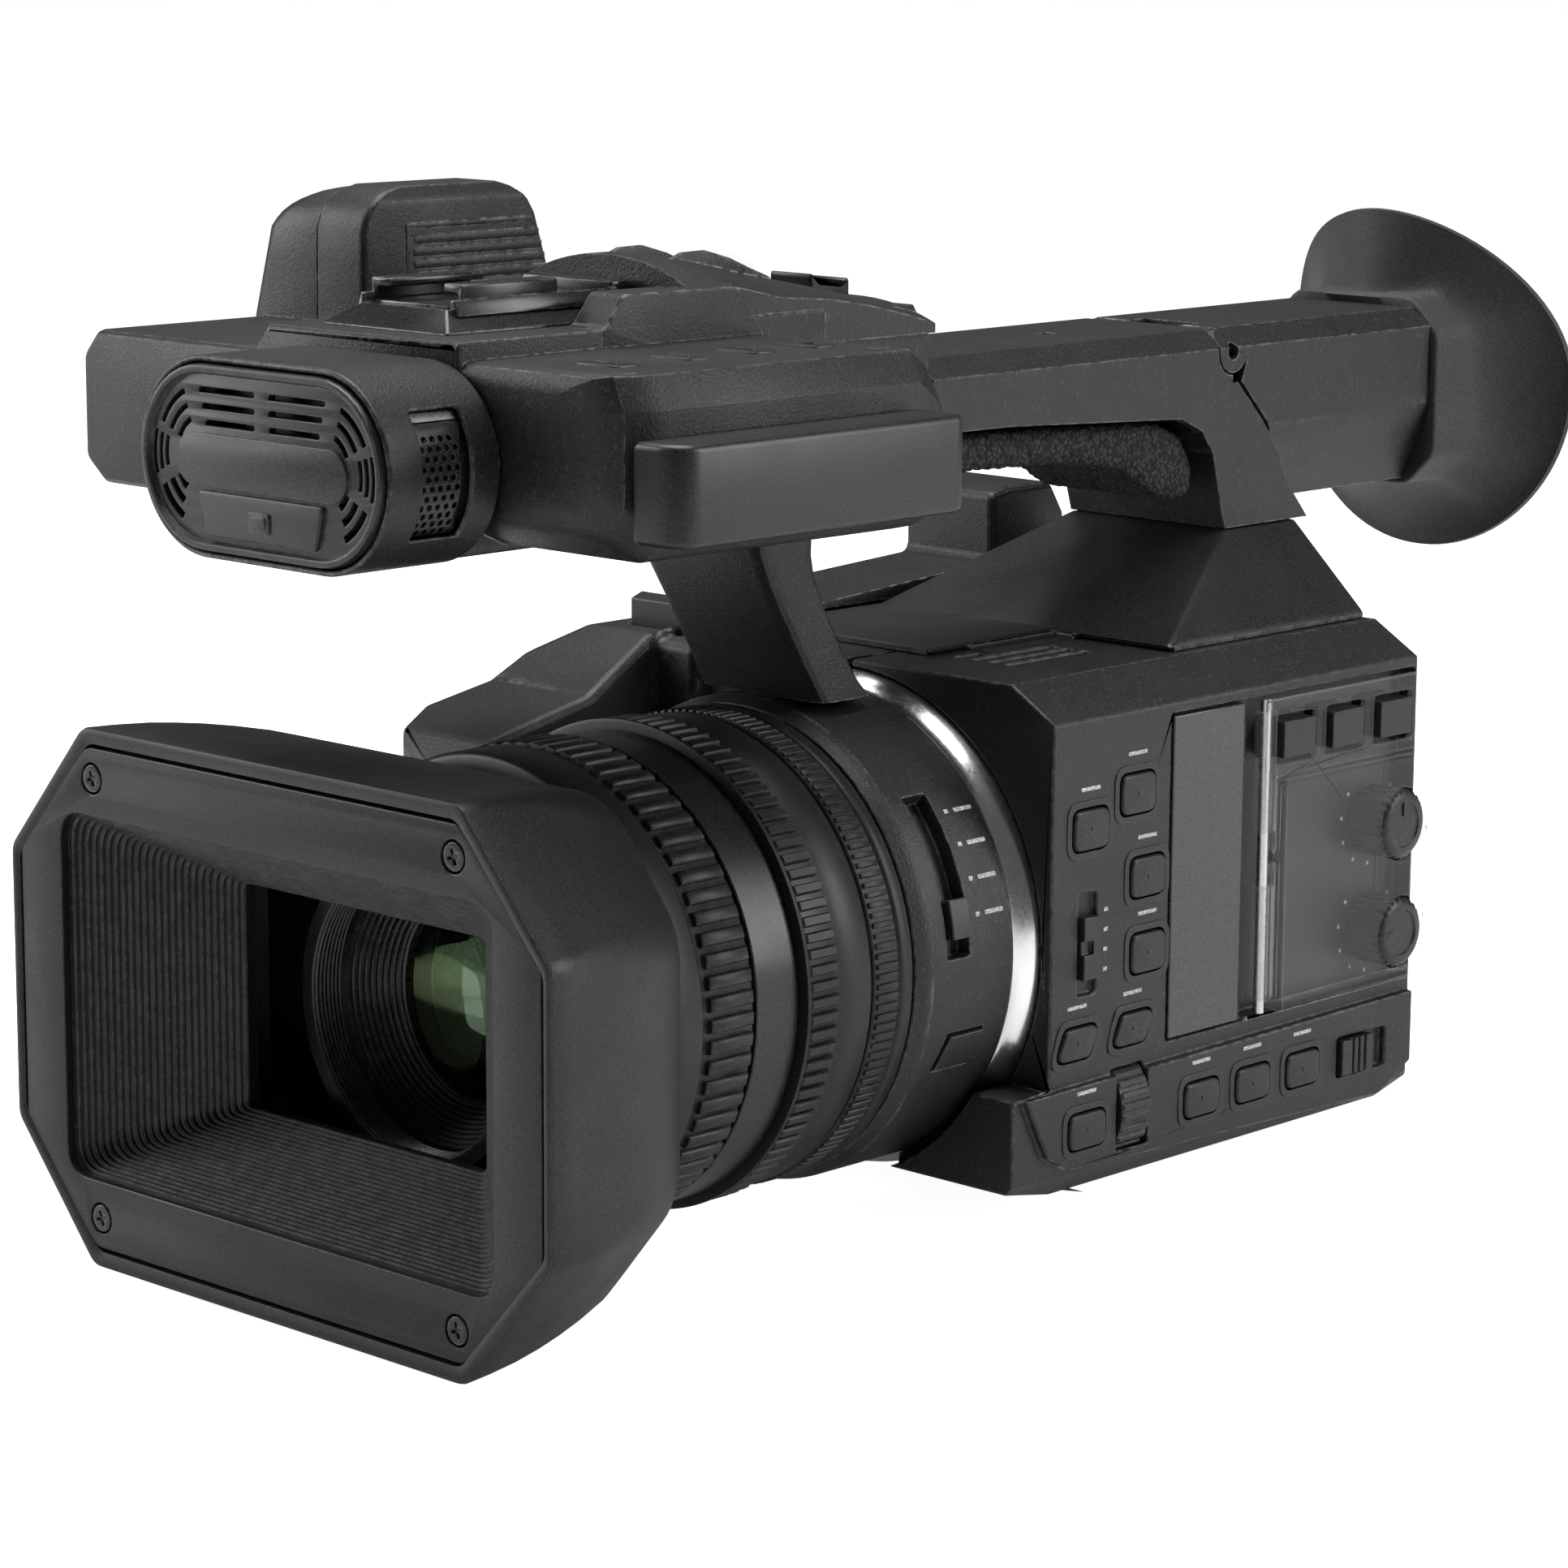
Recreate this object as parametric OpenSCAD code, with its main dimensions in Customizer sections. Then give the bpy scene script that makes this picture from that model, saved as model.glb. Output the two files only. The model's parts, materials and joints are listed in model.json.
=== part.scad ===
// Handheld camcorder with a fixed zoom lens, a carrying handle that holds the microphone, the stowed
// LCD slab and the viewfinder, a hand grip and a control side.
// Part frame: +Z up, the lens looks along -Y, +X is the control side, origin at the tripod thread's mouth.
// Every sub-part is drawn in the lens frame: origin on the lens axis at the hood's front plane.

/* [Overall] */
// Height of the lens axis above the base
lens_height = 50; // [49.5:0.5:51]
// Distance from the hood's front plane back to the tripod thread
hood_reach = 175; // [170:1:180]
// Wall thickness of the moulded casings
wall = 2.5; // [2:0.1:2.8]
// Gap left around a moving piece in its pocket
pocket_gap = 0.4; // [0.35:0.05:0.5]
// Radial running clearance of the lens rings and hinge pins
running_gap = 0.05; // [0.03:0.01:0.08]

/* [Lens hood] */
// Half of the hood's width
hood_half_w = 66; // [65:0.5:67]
// Half of the hood's height
hood_half_h = 46.3; // [46:0.1:47]
// Depth of the straight front part of the hood
hood_rim = 17; // [15:1:19]
// Station of the hood's rear wall
hood_depth = 44.5; // [44:0.5:45]
// Half width of the hood's opening
window_half_w = 52.8; // [51:0.2:53]
// Half height of the hood's opening
window_half_h = 31.3; // [30:0.1:31.5]

/* [Lens] */
// Radius of the filter thread (49 mm filters)
filter_r = 24.5; // [24.5:0.1:24.6]
// Outer radius of the tube that the rings turn on
tube_r = 38; // [37.5:0.1:38]
// Outer radius of the focus ring
focus_r = 41.8; // [41.5:0.1:42]
// Outer radius of the zoom ring
zoom_r = 43; // [42.5:0.1:43]
// Outer radius of the iris ring
iris_r = 42.5; // [42:0.1:42.8]
// Outer radius of the rear barrel
barrel_r = 43.6; // [43.4:0.1:43.8]
// Outer radius of the bright trim ring
trim_r = 45.5; // [45.3:0.1:45.6]
// Travel of the ND slider around the barrel, in degrees
nd_travel = 27; // [20:1:27]

/* [Body] */
// Half width of the body at the control side
body_half_w = 48; // [47.5:0.1:48.5]
// Height of the body's top above the lens axis
body_top = 47; // [46.5:0.1:47.5]
// Station of the body's front face
body_front = 137.5; // [137:0.5:138]
// Station of the chin under the rear barrel
chin_front = 128; // [126:1:130]
// Station of the body's rear face
body_rear = 243.5; // [243:0.5:244.5]
// How far the lower control strip stands proud of the side
strip_proud = 1.5; // [1.2:0.1:1.8]
// Station where the front housing meets the handle bar
deck_rear = 137.4; // [136.5:0.1:138]

/* [Handle] */
// Height of the handle bar's top above the lens axis
handle_top = 102; // [101:0.5:103]
// Half width of the handle bar
handle_half_w = 19; // [18.5:0.1:19.5]
// Half width of the microphone's front
mic_half_w = 29; // [28.5:0.1:29.3]
// Radius of the viewfinder's hinge knuckle
knuckle_r = 4; // [3.8:0.1:4.1]
// Width of the accessory shoe's slot between its walls
shoe_w = 18.8; // [18.6:0.1:19]

/* [Hidden] */
big = 400;
casing = [0.17, 0.17, 0.18];
smooth = [0.13, 0.13, 0.14];
cap_black = [0.09, 0.09, 0.1];
steel = [0.8, 0.8, 0.82];
glass_tint = [0.55, 0.65, 0.6, 0.5];
rubber = [0.12, 0.12, 0.12];

// Side buttons: name, station y, height z, width along y, height along z, slant along y, flange around the foot
side_buttons = [
    ["user_button_1", 160.4, 26.1, 9.5, 7.4, 0, 1.1],
    ["user_button_2", 163.5, 10.7, 9.5, 7.4, 0, 1.1],
    ["user_button_3", 163.9, -3.2, 9.5, 7.4, 0, 1.1],
    ["user_button_4", 160.2, -16.6, 9.5, 6, 3, 1.1],
    ["user_button_5", 147.6, 21.4, 9.5, 7.4, 0, 1.1],
    ["push_focus_button", 144.9, -16.8, 9.5, 6, 3, 0]];
strip_buttons = [
    ["menu_button", 146.2, -32.4, 10, 6.6, 0, 1],
    ["gain_button", 178.5, -32.6, 10, 6.6, 0, 1.1],
    ["white_balance_button", 193.5, -32.6, 10, 6.6, 0, 1.1],
    ["shutter_button", 208.5, -32.6, 10, 6.6, 0, 1.1]];
door_buttons = [
    ["stabiliser_button", 204.3, 30.7, 9.4, 6.8, 0, 1.1],
    ["zebra_button", 219, 30.7, 9.4, 6.8, 0, 1.1],
    ["display_button", 233.7, 30.7, 9.4, 6.8, 0, 1.1]];
lcd_button_y = [39, 55, 70, 84];
lcd_button_x = 38.5;
dial_y = 234.5;
dial_z = [10.4, -10.4];
dial_r = 6;
door_axis = [48.7, 196];
door_barrel_r = 2.1;
door_floor = 44;
jog = [40.3, 159.2, -31.2];
jog_r = 10.5;
evf_pivot = [222, 97.8];
pin_r = 1.5;
eye_z = 85.3;
screw_x = 44.2;
screw_z = 37.7;
nd_y = 118.5;
nd_from = 5;
nd_rest = 12;
iris_angle = -19.8;
iris_y = 121;
mic_z = 93.8;
mic_half_h = 15;
shoe_x = -4.1;
shoe_z = 116.4;
deck_top = 112.8;
case_top = 109.8;

module lens_frame() { translate([0, -hood_reach, lens_height]) children(); }
// A profile in X and Z, extruded from station y0 to station y1.
module along_y(y0, y1) { translate([0, y1, 0]) rotate([90, 0, 0]) linear_extrude(y1 - y0) children(); }
// A profile in Y and Z, extruded from x0 to x1.
module along_x(x0, x1) { translate([x0, 0, 0]) rotate([90, 0, 90]) linear_extrude(x1 - x0) children(); }
module box(low, high) { translate(low) cube(high - low); }
// A profile in radius and station, turned around the lens axis.
module around_lens() { rotate([-90, 0, 0]) rotate_extrude($fn = 128) children(); }
module ring(r_in, r_out, y0, y1) { around_lens() translate([r_in, y0]) square([r_out - r_in, y1 - y0]); }
module disc_x(x0, x1, y, z, r) { translate([x0, y, z]) rotate([0, 90, 0]) cylinder(h = x1 - x0, r = r, $fn = 64); }
module disc_y(y0, y1, x, z, r) { translate([x, y0, z]) rotate([-90, 0, 0]) cylinder(h = y1 - y0, r = r, $fn = 64); }
module disc_z(z0, z1, x, y, r) { translate([x, y, z0]) cylinder(h = z1 - z0, r = r, $fn = 48); }
module rounded(w, h, r) {
    square([w - 2 * r, h], center = true);
    square([w, h - 2 * r], center = true);
    for (x = [-1, 1]) for (y = [-1, 1]) translate([x * (w / 2 - r), y * (h / 2 - r)]) circle(r, $fn = 48);
}
module octagon(half_w, half_h, cut_w, cut_h) {
    polygon([[half_w, half_h - cut_h], [half_w - cut_w, half_h], [cut_w - half_w, half_h],
        [-half_w, half_h - cut_h], [-half_w, cut_h - half_h], [cut_w - half_w, -half_h],
        [half_w - cut_w, -half_h], [half_w, cut_h - half_h]]);
}

// ---- Lens hood ----
module hood_slice(y, half_w, half_h) { along_y(y, y + 0.1) octagon(half_w, half_h, half_w * 0.3, half_h * 0.49); }
module hood_form(inset) {
    hull() {
        hood_slice(0, hood_half_w - inset, hood_half_h - inset);
        hood_slice(hood_rim, hood_half_w - 2.4 - inset, hood_half_h - 1 - inset);
    }
    hull() {
        hood_slice(hood_rim, hood_half_w - 2.4 - inset, hood_half_h - 1 - inset);
        hood_slice(33 - inset, hood_half_w - 6.5 - inset, hood_half_h - 3.6 - inset);
        hood_slice(hood_depth - 0.1 - inset, hood_half_w - 18 - inset, hood_half_h - 7.5 - inset);
    }
}
module hood_shell() lens_frame() color(casing) difference() {
    hood_form(0);
    hood_form(wall);
    along_y(-1, 3.2) octagon(63.9, 43.1, 18.2, 18.6);
    disc_y(hood_depth - 5, hood_depth + 1, 0, 0, tube_r + 0.1);
    for (x = [-screw_x, screw_x]) for (z = [-screw_z, screw_z]) disc_y(3, 11, x, z, 3.4);
}
module hood_face() lens_frame() color(smooth) {
    difference() {
        along_y(0.3, 3) octagon(63.6, 42.8, 18.1, 18.5);
        along_y(-1, 4) rounded(2 * window_half_w, 2 * window_half_h, 5);
        for (x = [-screw_x, screw_x]) for (z = [-screw_z, screw_z]) {
            disc_y(0, 1.9, x, z, 2.6);
            disc_y(0, 4, x, z, 1.2);
        }
    }
    difference() {
        hull() {
            along_y(2, 2.1) square([2 * window_half_w + 3, 2 * window_half_h + 3], center = true);
            along_y(21, 21.1) square([62, 42], center = true);
        }
        hull() {
            along_y(1.8, 1.9) square([2 * window_half_w, 2 * window_half_h], center = true);
            along_y(21.2, 21.3) square([59, 39], center = true);
        }
    }
    difference() {
        along_y(21, 23) square([84, 62], center = true);
        along_y(20, 24) square([59, 39], center = true);
    }
}
module hood_screws() lens_frame() color(cap_black)
    for (x = [-screw_x, screw_x]) for (z = [-screw_z, screw_z]) difference() {
        union() {
            disc_y(0.5, 1.8, x, z, 2.2);
            disc_y(1.7, 9, x, z, 1);
        }
        translate([x, 0.5, z]) cube([2.6, 1.4, 0.5], center = true);
        translate([x, 0.5, z]) cube([0.5, 1.4, 2.6], center = true);
    }

// ---- Lens ----
module filter_ring() lens_frame() color(smooth) around_lens()
    polygon([[filter_r, 31], [27.5, 31], [27.5, 40], [35.9, 40], [35.9, 53], [22.3, 53], [22.3, 47.1],
        [17.6, 47.1], [17.6, 45.6], [filter_r, 37.5]]);
module front_lens() lens_frame() color(glass_tint) around_lens() {
    translate([0, 47.3]) square([22.1, 5]);
    intersection() {
        translate([0, 88.7]) circle(45, $fn = 160);
        translate([0, 43]) square([17.2, 4.5]);
    }
}
module lens_tube() lens_frame() color(cap_black) {
    ring(36, tube_r, 41, 134);
    ring(tube_r - 0.2, 41.2, 70.8, 80.8);
}
module ribs(count, r, y0, y1, width, tall)
    for (i = [0 : count - 1]) rotate([0, i * 360 / count, 0]) box([-width / 2, y0, r - 0.4], [width / 2, y1, r + tall]);
module focus_ring() lens_frame() color(rubber) {
    ring(tube_r + running_gap, focus_r - 0.8, 48, 70.4);
    ring(tube_r + 1, focus_r - 0.4, 48, 58);
    ribs(72, focus_r - 0.8, 59.5, 69.8, 2.1, 0.8);
}
module zoom_ring() lens_frame() color(rubber) {
    ring(tube_r + running_gap, zoom_r - 1.2, 81.2, 98.3);
    ring(tube_r + 1, zoom_r, 81.2, 82.4);
    ribs(90, zoom_r - 1.2, 82.3, 89.5, 1.7, 1);
}
module iris_ring() lens_frame() color(rubber) {
    ring(tube_r + running_gap, iris_r - 0.6, 98.7, 108.1);
    ring(tube_r + 1, iris_r - 0.1, 105.2, 108.1);
    ribs(150, iris_r - 0.6, 99.2, 104.6, 0.8, 0.5);
}
// A window cut through the barrel's outer skin: station range, angle range and radius range.
module barrel_sector(y0, y1, a0, a1, r0, r1) intersection() {
    ring(r0, r1, y0, y1);
    rotate([0, -a0, 0]) rotate([-90, 0, 0]) rotate([0, 0, a0 - a1]) sector(a1 - a0, y0, y1);
}
module sector(angle, y0, y1) translate([0, 0, y0])
    linear_extrude(y1 - y0) polygon([[0, 0], [60, 0], [60 * cos(angle / 2), 60 * sin(angle / 2)] * 1.1,
        [60 * cos(angle), 60 * sin(angle)]]);
module lens_barrel() lens_frame() color(casing) difference() {
    around_lens() polygon([[tube_r + 0.1, 108.5], [42.4, 108.5], [barrel_r, 112], [barrel_r, 132.6],
        [tube_r + 0.1, 132.6]]);
    barrel_sector(nd_y - 2.9, nd_y + 2.9, nd_from - 2, nd_from + nd_travel + 10, 40.6, 50);
    rotate([0, -iris_angle, 0]) iris_form(pocket_gap, 40.9, 50);
}
module nd_slider() lens_frame() color(cap_black)
    barrel_sector(nd_y - 2.4, nd_y + 2.4, nd_rest - 4.5, nd_rest + 4.5, 40.9, barrel_r + 1.2);
module iris_form(grow, r0, r1) along_x(r0, r1) polygon([[iris_y - 5.2 - grow, -3.2 - grow],
    [iris_y + 3.4 + grow, -3.2 - grow], [iris_y + 5.4 + grow, 3.2 + grow], [iris_y - 3.2 - grow, 3.2 + grow]]);
module iris_button() lens_frame() color(cap_black) rotate([0, -iris_angle, 0]) iris_form(0, 41.8, barrel_r + 0.5);
module trim_ring() lens_frame() color(steel) around_lens() polygon([[tube_r + 0.1, 132.8],
    [barrel_r - 0.2, 132.8], [trim_r, 137], [trim_r, 150], [tube_r + 4, 150], [tube_r + 4, 136],
    [tube_r + 0.1, 136]]);

// ---- Body ----
// Half of the body's cross-section on the control side, drawn inwards by an inset.
module body_half(inset) {
    w = body_half_w - inset;
    t = body_top - inset;
    k = inset * 0.45;
    polygon([[0, t], [38 - k, t], [w, 41 - k], [w, -40.5 + k], [41 - k, -46 + inset], [30 - k, -47.5 + inset],
        [0, -47.5 + inset]]);
}
module lens_opening() disc_y(body_front - 20, 151, 0, 0, trim_r + 0.15);
module button_form(b, x0, x1, grow) {
    w = b[3] / 2 + grow;
    h = b[4] / 2 + grow;
    s = b[5] / 2;
    along_x(x0, x1) polygon([[b[1] - w - s, b[2] - h], [b[1] + w - s, b[2] - h], [b[1] + w + s, b[2] + h],
        [b[1] - w + s, b[2] + h]]);
}
// A push button: a cap through the wall and, where there is room, a wider flange behind it.
module side_button(b, face, proud, skin) lens_frame() color(cap_black) {
    button_form(b, face - skin - 0.2, face + proud, 0);
    if (b[6] > 0) button_form(b, face - skin - 2, face - skin - 0.1, b[6]);
}
module body_block(y0, y1) along_y(y0, y1) intersection() {
    body_half(0);
    translate([0.05, -big / 2]) square(big);
}
// The chin that wraps under the rear barrel in front of the body.
module chin() intersection() {
    body_block(chin_front, body_front + 0.1);
    box([-big, 0, -big], [big, big, -24.5]);
}
// The wedge of air under the sloping chin.
module under_chin() along_x(-60, 60) polygon([[120, -60], [120, -39.5], [128, -41.5], [152, -47.6], [152, -60]]);
module chin_floor() box([0.05, body_front + 0.1, -46.5], [38, 152, -42]);
module left_body_shell() lens_frame() color(casing) difference() {
    union() {
        difference() {
            body_block(body_front, body_rear);
            along_y(body_front + wall, body_rear - wall) body_half(wall);
        }
        chin();
        chin_floor();
        along_x(body_half_w - 0.1, body_half_w + strip_proud) polygon([[130, -24.5], [243, -23.5], [243, -37],
            [233, -42], [143, -39.2], [136, -36]]);
        box([0.05, body_rear - 6.5, -33], [13, body_rear - 0.1, 29]);
        intersection() {
            box([door_floor - wall, 190, -23], [47, body_rear - 0.1, 41]);
            along_y(185, body_rear) body_half(0.1);
        }
        box([door_floor - wall, 168, -23], [47, 192.6, -20.5]);
    }
    under_chin();
    lens_opening();
    box([door_floor, 193, -20.5], [big, body_rear - 0.7, 39]);
    box([46.8, 170, -20.9], [big, 193.1, 39]);
    for (b = side_buttons) button_form(b, body_half_w - 5, big, pocket_gap);
    for (b = strip_buttons) button_form(b, body_half_w - 5, big, pocket_gap);
    for (b = door_buttons) button_form(b, door_floor - 5, big, pocket_gap);
    for (z = dial_z) disc_x(door_floor - 5, door_floor + 1, dial_y, z, 2.4);
    box([body_half_w - 5, jog[1] - 4.4, jog[2] - 7], [big, jog[1] + 4.4, jog[2] + 7]);
    disc_y(jog[1] - 4.4, jog[1] + 4.4, jog[0], jog[2], jog_r + pocket_gap);
    box([body_half_w - 1.2, 144.9, -8.4], [big, 149.9, 9.9]);
    box([body_half_w + strip_proud - 1.6, 219.5, -36.6], [big, 234.5, -29]);
    box([-1, 160, 40], [14, 215, 48]);
    box([-1, 160, -48], [20, 200, -40]);
    box([-1, body_rear - 4, -30.4], [10.4, 260, 26.4]);
    for (i = [0 : 3]) box([11 + 4 * i, 153, 44], [13.2 + 4 * i, 175, 48]);
}
module side_panel() lens_frame() color(smooth) box([46.9, 170.4, -20.5], [body_half_w + 0.2, 190.6, 38.6]);
// The grip swells out of the right side: three profiles crossed, drawn inwards by an inset.
module grip_form(inset) intersection() {
    i = inset;
    k = inset * 0.7;
    along_y(80, 250) polygon([[-10, -36 + i], [-64, -36 + i], [-73 + k, -31 + k], [-76.5 + i, -22], [-76.5 + i, 32],
        [-73 + k, 41 - k], [-64, 46.8 - i], [-10, 46.8 - i]]);
    along_x(-80, -10) polygon([[87 + i, -24], [97, -35.6 + i], [241.8 - i, -35.6 + i], [241.8 - i, 43],
        [238, 46.6 - i], [134, 46.6 - i], [118, 36.6 - i], [93, 31.5 - i], [87 + i, 25]]);
    translate([0, 0, -60]) linear_extrude(140) polygon([[-10, 86.8 + i], [-58, 86.8 + i], [-70 + k, 92 + k],
        [-76.3 + i, 104], [-76.3 + i, 238], [-73 + k, 241.6 - i], [-10, 241.6 - i]]);
}
module grip_ridge(inset) {
    along_x(-60 + inset, -37 - inset) polygon([[134.5 + inset, 32], [134.5 + inset, 45 - inset],
        [150, 48.4 - inset], [222, 53 - inset], [222, 32]]);
    along_x(-60 + inset, -37 - inset) polygon([[218 + inset, 32], [218 + inset, 66 - inset], [223, 67 - inset],
        [236, 67 - inset], [240.5 - inset, 60], [240.5 - inset, 32]]);
}
module right_body_shell() lens_frame() color(casing) difference() {
    union() {
        difference() {
            mirror([1, 0, 0]) body_block(body_front, body_rear);
            along_y(body_front + wall, body_rear - wall) mirror([1, 0]) body_half(wall);
        }
        mirror([1, 0, 0]) chin();
        mirror([1, 0, 0]) chin_floor();
        difference() {
            grip_form(0);
            box([-47, -big, -big], [big, big, big]);
        }
        grip_ridge(0);
        box([-29, body_rear - 6.5, -33], [-0.05, body_rear - 0.1, 29]);
    }
    intersection() {
        grip_form(wall);
        union() {
            box([-big, -big, -big], [-47 - wall, body_rear - wall, big]);
            box([-big, body_front + wall, -big], [-43, body_rear - wall - 0.5, big]);
        }
    }
    grip_ridge(wall);
    under_chin();
    lens_opening();
    box([-59.5, 139.6, 43], [-44.5, 158.4, 60]);
    box([-14, 160, 40], [1, 215, 48]);
    box([-20, 160, -48], [1, 200, -40]);
    disc_y(230, 260, -62, 8, 7.4);
    box([-26.4, body_rear - 4, -30.4], [1, 260, 26.4]);
}
module base_plate() lens_frame() color(steel) difference() {
    union() {
        box([-28, 155, -lens_height], [28, 232, -47.6]);
        box([-19.6, 160.4, -47.7], [19.6, 199.6, -42]);
    }
    disc_z(-lens_height - 1, -43.5, 0, hood_reach, 3.175);
    disc_z(-lens_height - 1, -47, 0, hood_reach + 14, 2.5);
}
module circuit_boards() lens_frame() color([0.1, 0.35, 0.2]) {
    difference() {
        box([-28, 154, -34], [28, 155.6, 34]);
        box([-6, 153, -4], [6, 156, 4]);
    }
    box([-12, 150.5, -9], [12, 153.95, 9]);
    box([22, 162, -36], [23.6, 236, 36]);
    box([12, 180, -16], [21.95, 214, 16]);
}
module top_cover() lens_frame() color(smooth) difference() {
    union() {
        hull() {
            box([-handle_half_w, 220.5, 63.2], [handle_half_w, 242.4, 64.3]);
            box([-36, 184, body_top + 0.1], [36, 242.5, body_top + 1.2]);
        }
        box([-36, 150, body_top + 0.1], [8, 186, body_top + 1.2]);
        box([-13.6, 160.4, body_top - 3], [13.6, 214.6, body_top + 0.2]);
    }
    translate([-50, 163, 146.2]) rotate([0, 90, 0]) cylinder(h = 100, r = 98, $fn = 240);
    box([8, 140, body_top + 0.05], [60, 184, big]);
}
// ---- Audio door and dials ----
module door_slab() {
    box([body_half_w + 0.4, 195.2, 23.8], [body_half_w + 1.8, 242, 38.4]);
    box([body_half_w + 0.4, 198.2, -19.7], [body_half_w + 4.4, 244.5, 24]);
}
module audio_door() lens_frame() color(glass_tint) difference() {
    union() {
        difference() {
            door_slab();
            box([0, 199.6, -18.3], [body_half_w + 3, 243.1, 22.6]);
        }
        box([door_axis[0], door_axis[1], 10], [body_half_w + 1.8, door_axis[1] + 4, 36]);
        box([door_axis[0], door_axis[1], -17.5], [body_half_w + 1.8, door_axis[1] + 4, 8]);
        disc_z(14, 36.5, door_axis[0], door_axis[1], door_barrel_r);
        disc_z(-17.5, 4, door_axis[0], door_axis[1], door_barrel_r);
    }
    disc_z(-25, 45, door_axis[0], door_axis[1], 1 + running_gap);
    for (b = door_buttons) button_form(b, 30, big, 1.2);
    for (z = dial_z) disc_x(30, big, dial_y, z, dial_r + 1);
    box([30, 190, 4], [big, 197.9, 14]);
}
module hinge_pins() lens_frame() color(steel) {
    disc_z(-19.9, 38.6, door_axis[0], door_axis[1], 1);
    disc_x(-16, 16, evf_pivot[0], evf_pivot[1], pin_r);
}
// A volume dial with its pointer notch turned from straight up.
module volume_dial(z, turn) lens_frame() color(cap_black) translate([0, dial_y, z]) rotate([turn, 0, 0])
    translate([0, -dial_y, -z]) dial_body(z);
module dial_body(z) {
    difference() {
        disc_x(door_floor + 0.4, body_half_w + 4.8, dial_y, z, dial_r);
        box([body_half_w + 4.2, dial_y - 0.4, z + 1.5], [body_half_w + 6, dial_y + 0.4, z + 5]);
    }
    disc_x(door_floor - 4, door_floor + 0.6, dial_y, z, 2.1);
    for (i = [0 : 17]) translate([body_half_w + 1, dial_y, z]) rotate([i * 20, 0, 0])
        box([0, -0.45, dial_r - 0.3], [3.8, 0.45, dial_r + 0.35]);
}
module volume_dial_1() { volume_dial(dial_z[0], 0); }
module volume_dial_2() { volume_dial(dial_z[1], 90); }
module jog_dial() lens_frame() color(cap_black) {
    disc_y(jog[1] - 4, jog[1] + 4, jog[0], jog[2], jog_r - 0.4);
    for (i = [0 : 29]) translate([jog[0], jog[1], jog[2]]) rotate([0, i * 12, 0])
        box([-0.6, -3.7, jog_r - 1], [0.6, 3.7, jog_r]);
}
module focus_switch() lens_frame() color(cap_black) difference() {
    box([body_half_w - 1.1, 145.3, -5.5], [body_half_w + 1.2, 149.5, 5.9]);
    box([body_half_w + 0.4, 145, -0.9], [body_half_w + 2, 147.8, 1.5]);
}
module mode_switch() lens_frame() color(cap_black) difference() {
    box([body_half_w + strip_proud - 1.5, 220, -36.2], [body_half_w + strip_proud + 1, 229.5, -29.4]);
    for (y = [223, 224.8, 226.6]) box([body_half_w + strip_proud + 0.4, y, -37], [big, y + 0.7, -29]);
}
module named_button(list, name, face, proud, skin)
    for (b = list) if (b[0] == name) side_button(b, face, proud, skin);
module wall_button(name) named_button(side_buttons, name, body_half_w, 0.7, wall);
module strip_button(name) named_button(strip_buttons, name, body_half_w + strip_proud, 0.6, wall + strip_proud);
module door_button(name) named_button(door_buttons, name, body_half_w + 2.3, 0.1, 6.3 + wall);

// ---- Handle ----
module handle_section(inset) polygon([[14.5 - inset, handle_top - inset], [handle_half_w - inset, 98.6 - inset / 2],
    [handle_half_w - inset, 60], [inset - handle_half_w, 60], [inset - handle_half_w, 98.6 - inset / 2],
    [inset - 14.5, handle_top - inset]]);
module handle_shell() lens_frame() color(casing) difference() {
    intersection() {
        along_x(-20, 20) polygon([[deck_rear + 0.2, 110], [evf_pivot[0], 110], [evf_pivot[0] + 4.5, 96.5],
            [223.6, 92], [231.6, 84], [236.7, 77.7], [239.4, 71.8], [246, 64.5], [220.5, 64.5], [218.2, 72],
            [216.5, 79], [213, 83.5], [207, 86.2], [158, 88.7], [deck_rear + 0.2, 88.9]]);
        along_y(132, 250) handle_section(0);
    }
    intersection() {
        along_x(-20, 20) polygon([[deck_rear + 2.7, 50], [deck_rear + 2.7, 105], [214, 105], [214, 50]]);
        along_y(130, 250) handle_section(wall);
    }
    difference() {
        disc_x(-20, 20, evf_pivot[0], evf_pivot[1], knuckle_r + 0.35);
        disc_x(-6, 6, evf_pivot[0], evf_pivot[1], knuckle_r - 0.1);
    }
    difference() {
        union() {
            box([-20, evf_pivot[0], 92], [20, 240, 110]);
            along_x(-20, 20) polygon([[evf_pivot[0] - 4.7, evf_pivot[1]], [evf_pivot[0] - 2.6, 103.5], [230, 103.5],
                [230, evf_pivot[1]]]);
        }
        disc_x(-6, 6, evf_pivot[0], evf_pivot[1], knuckle_r - 0.1);
    }
    disc_x(-20, 20, evf_pivot[0], evf_pivot[1], pin_r + 0.02);
    disc_z(95, 110, 0, 190, 1.6);
}
module handle_pad() lens_frame() color(rubber) along_x(-15.5, 15.5) polygon([[deck_rear + 0.6, 88.7], [205, 86],
    [212.6, 83.2], [216, 78.6], [217.2, 72], [213, 69.5], [205, 71], [195, 77], [180, 79.5],
    [deck_rear + 0.6, 80.5]]);
module deck_section(inset) polygon([[-30 + inset, 82 + inset], [-24 + inset, 78.5 + inset], [20 - inset, 78.5 + inset],
    [20 - inset, deck_top - inset], [-26 + inset, deck_top - inset], [-30 + inset, 108 - inset]]);
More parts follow.
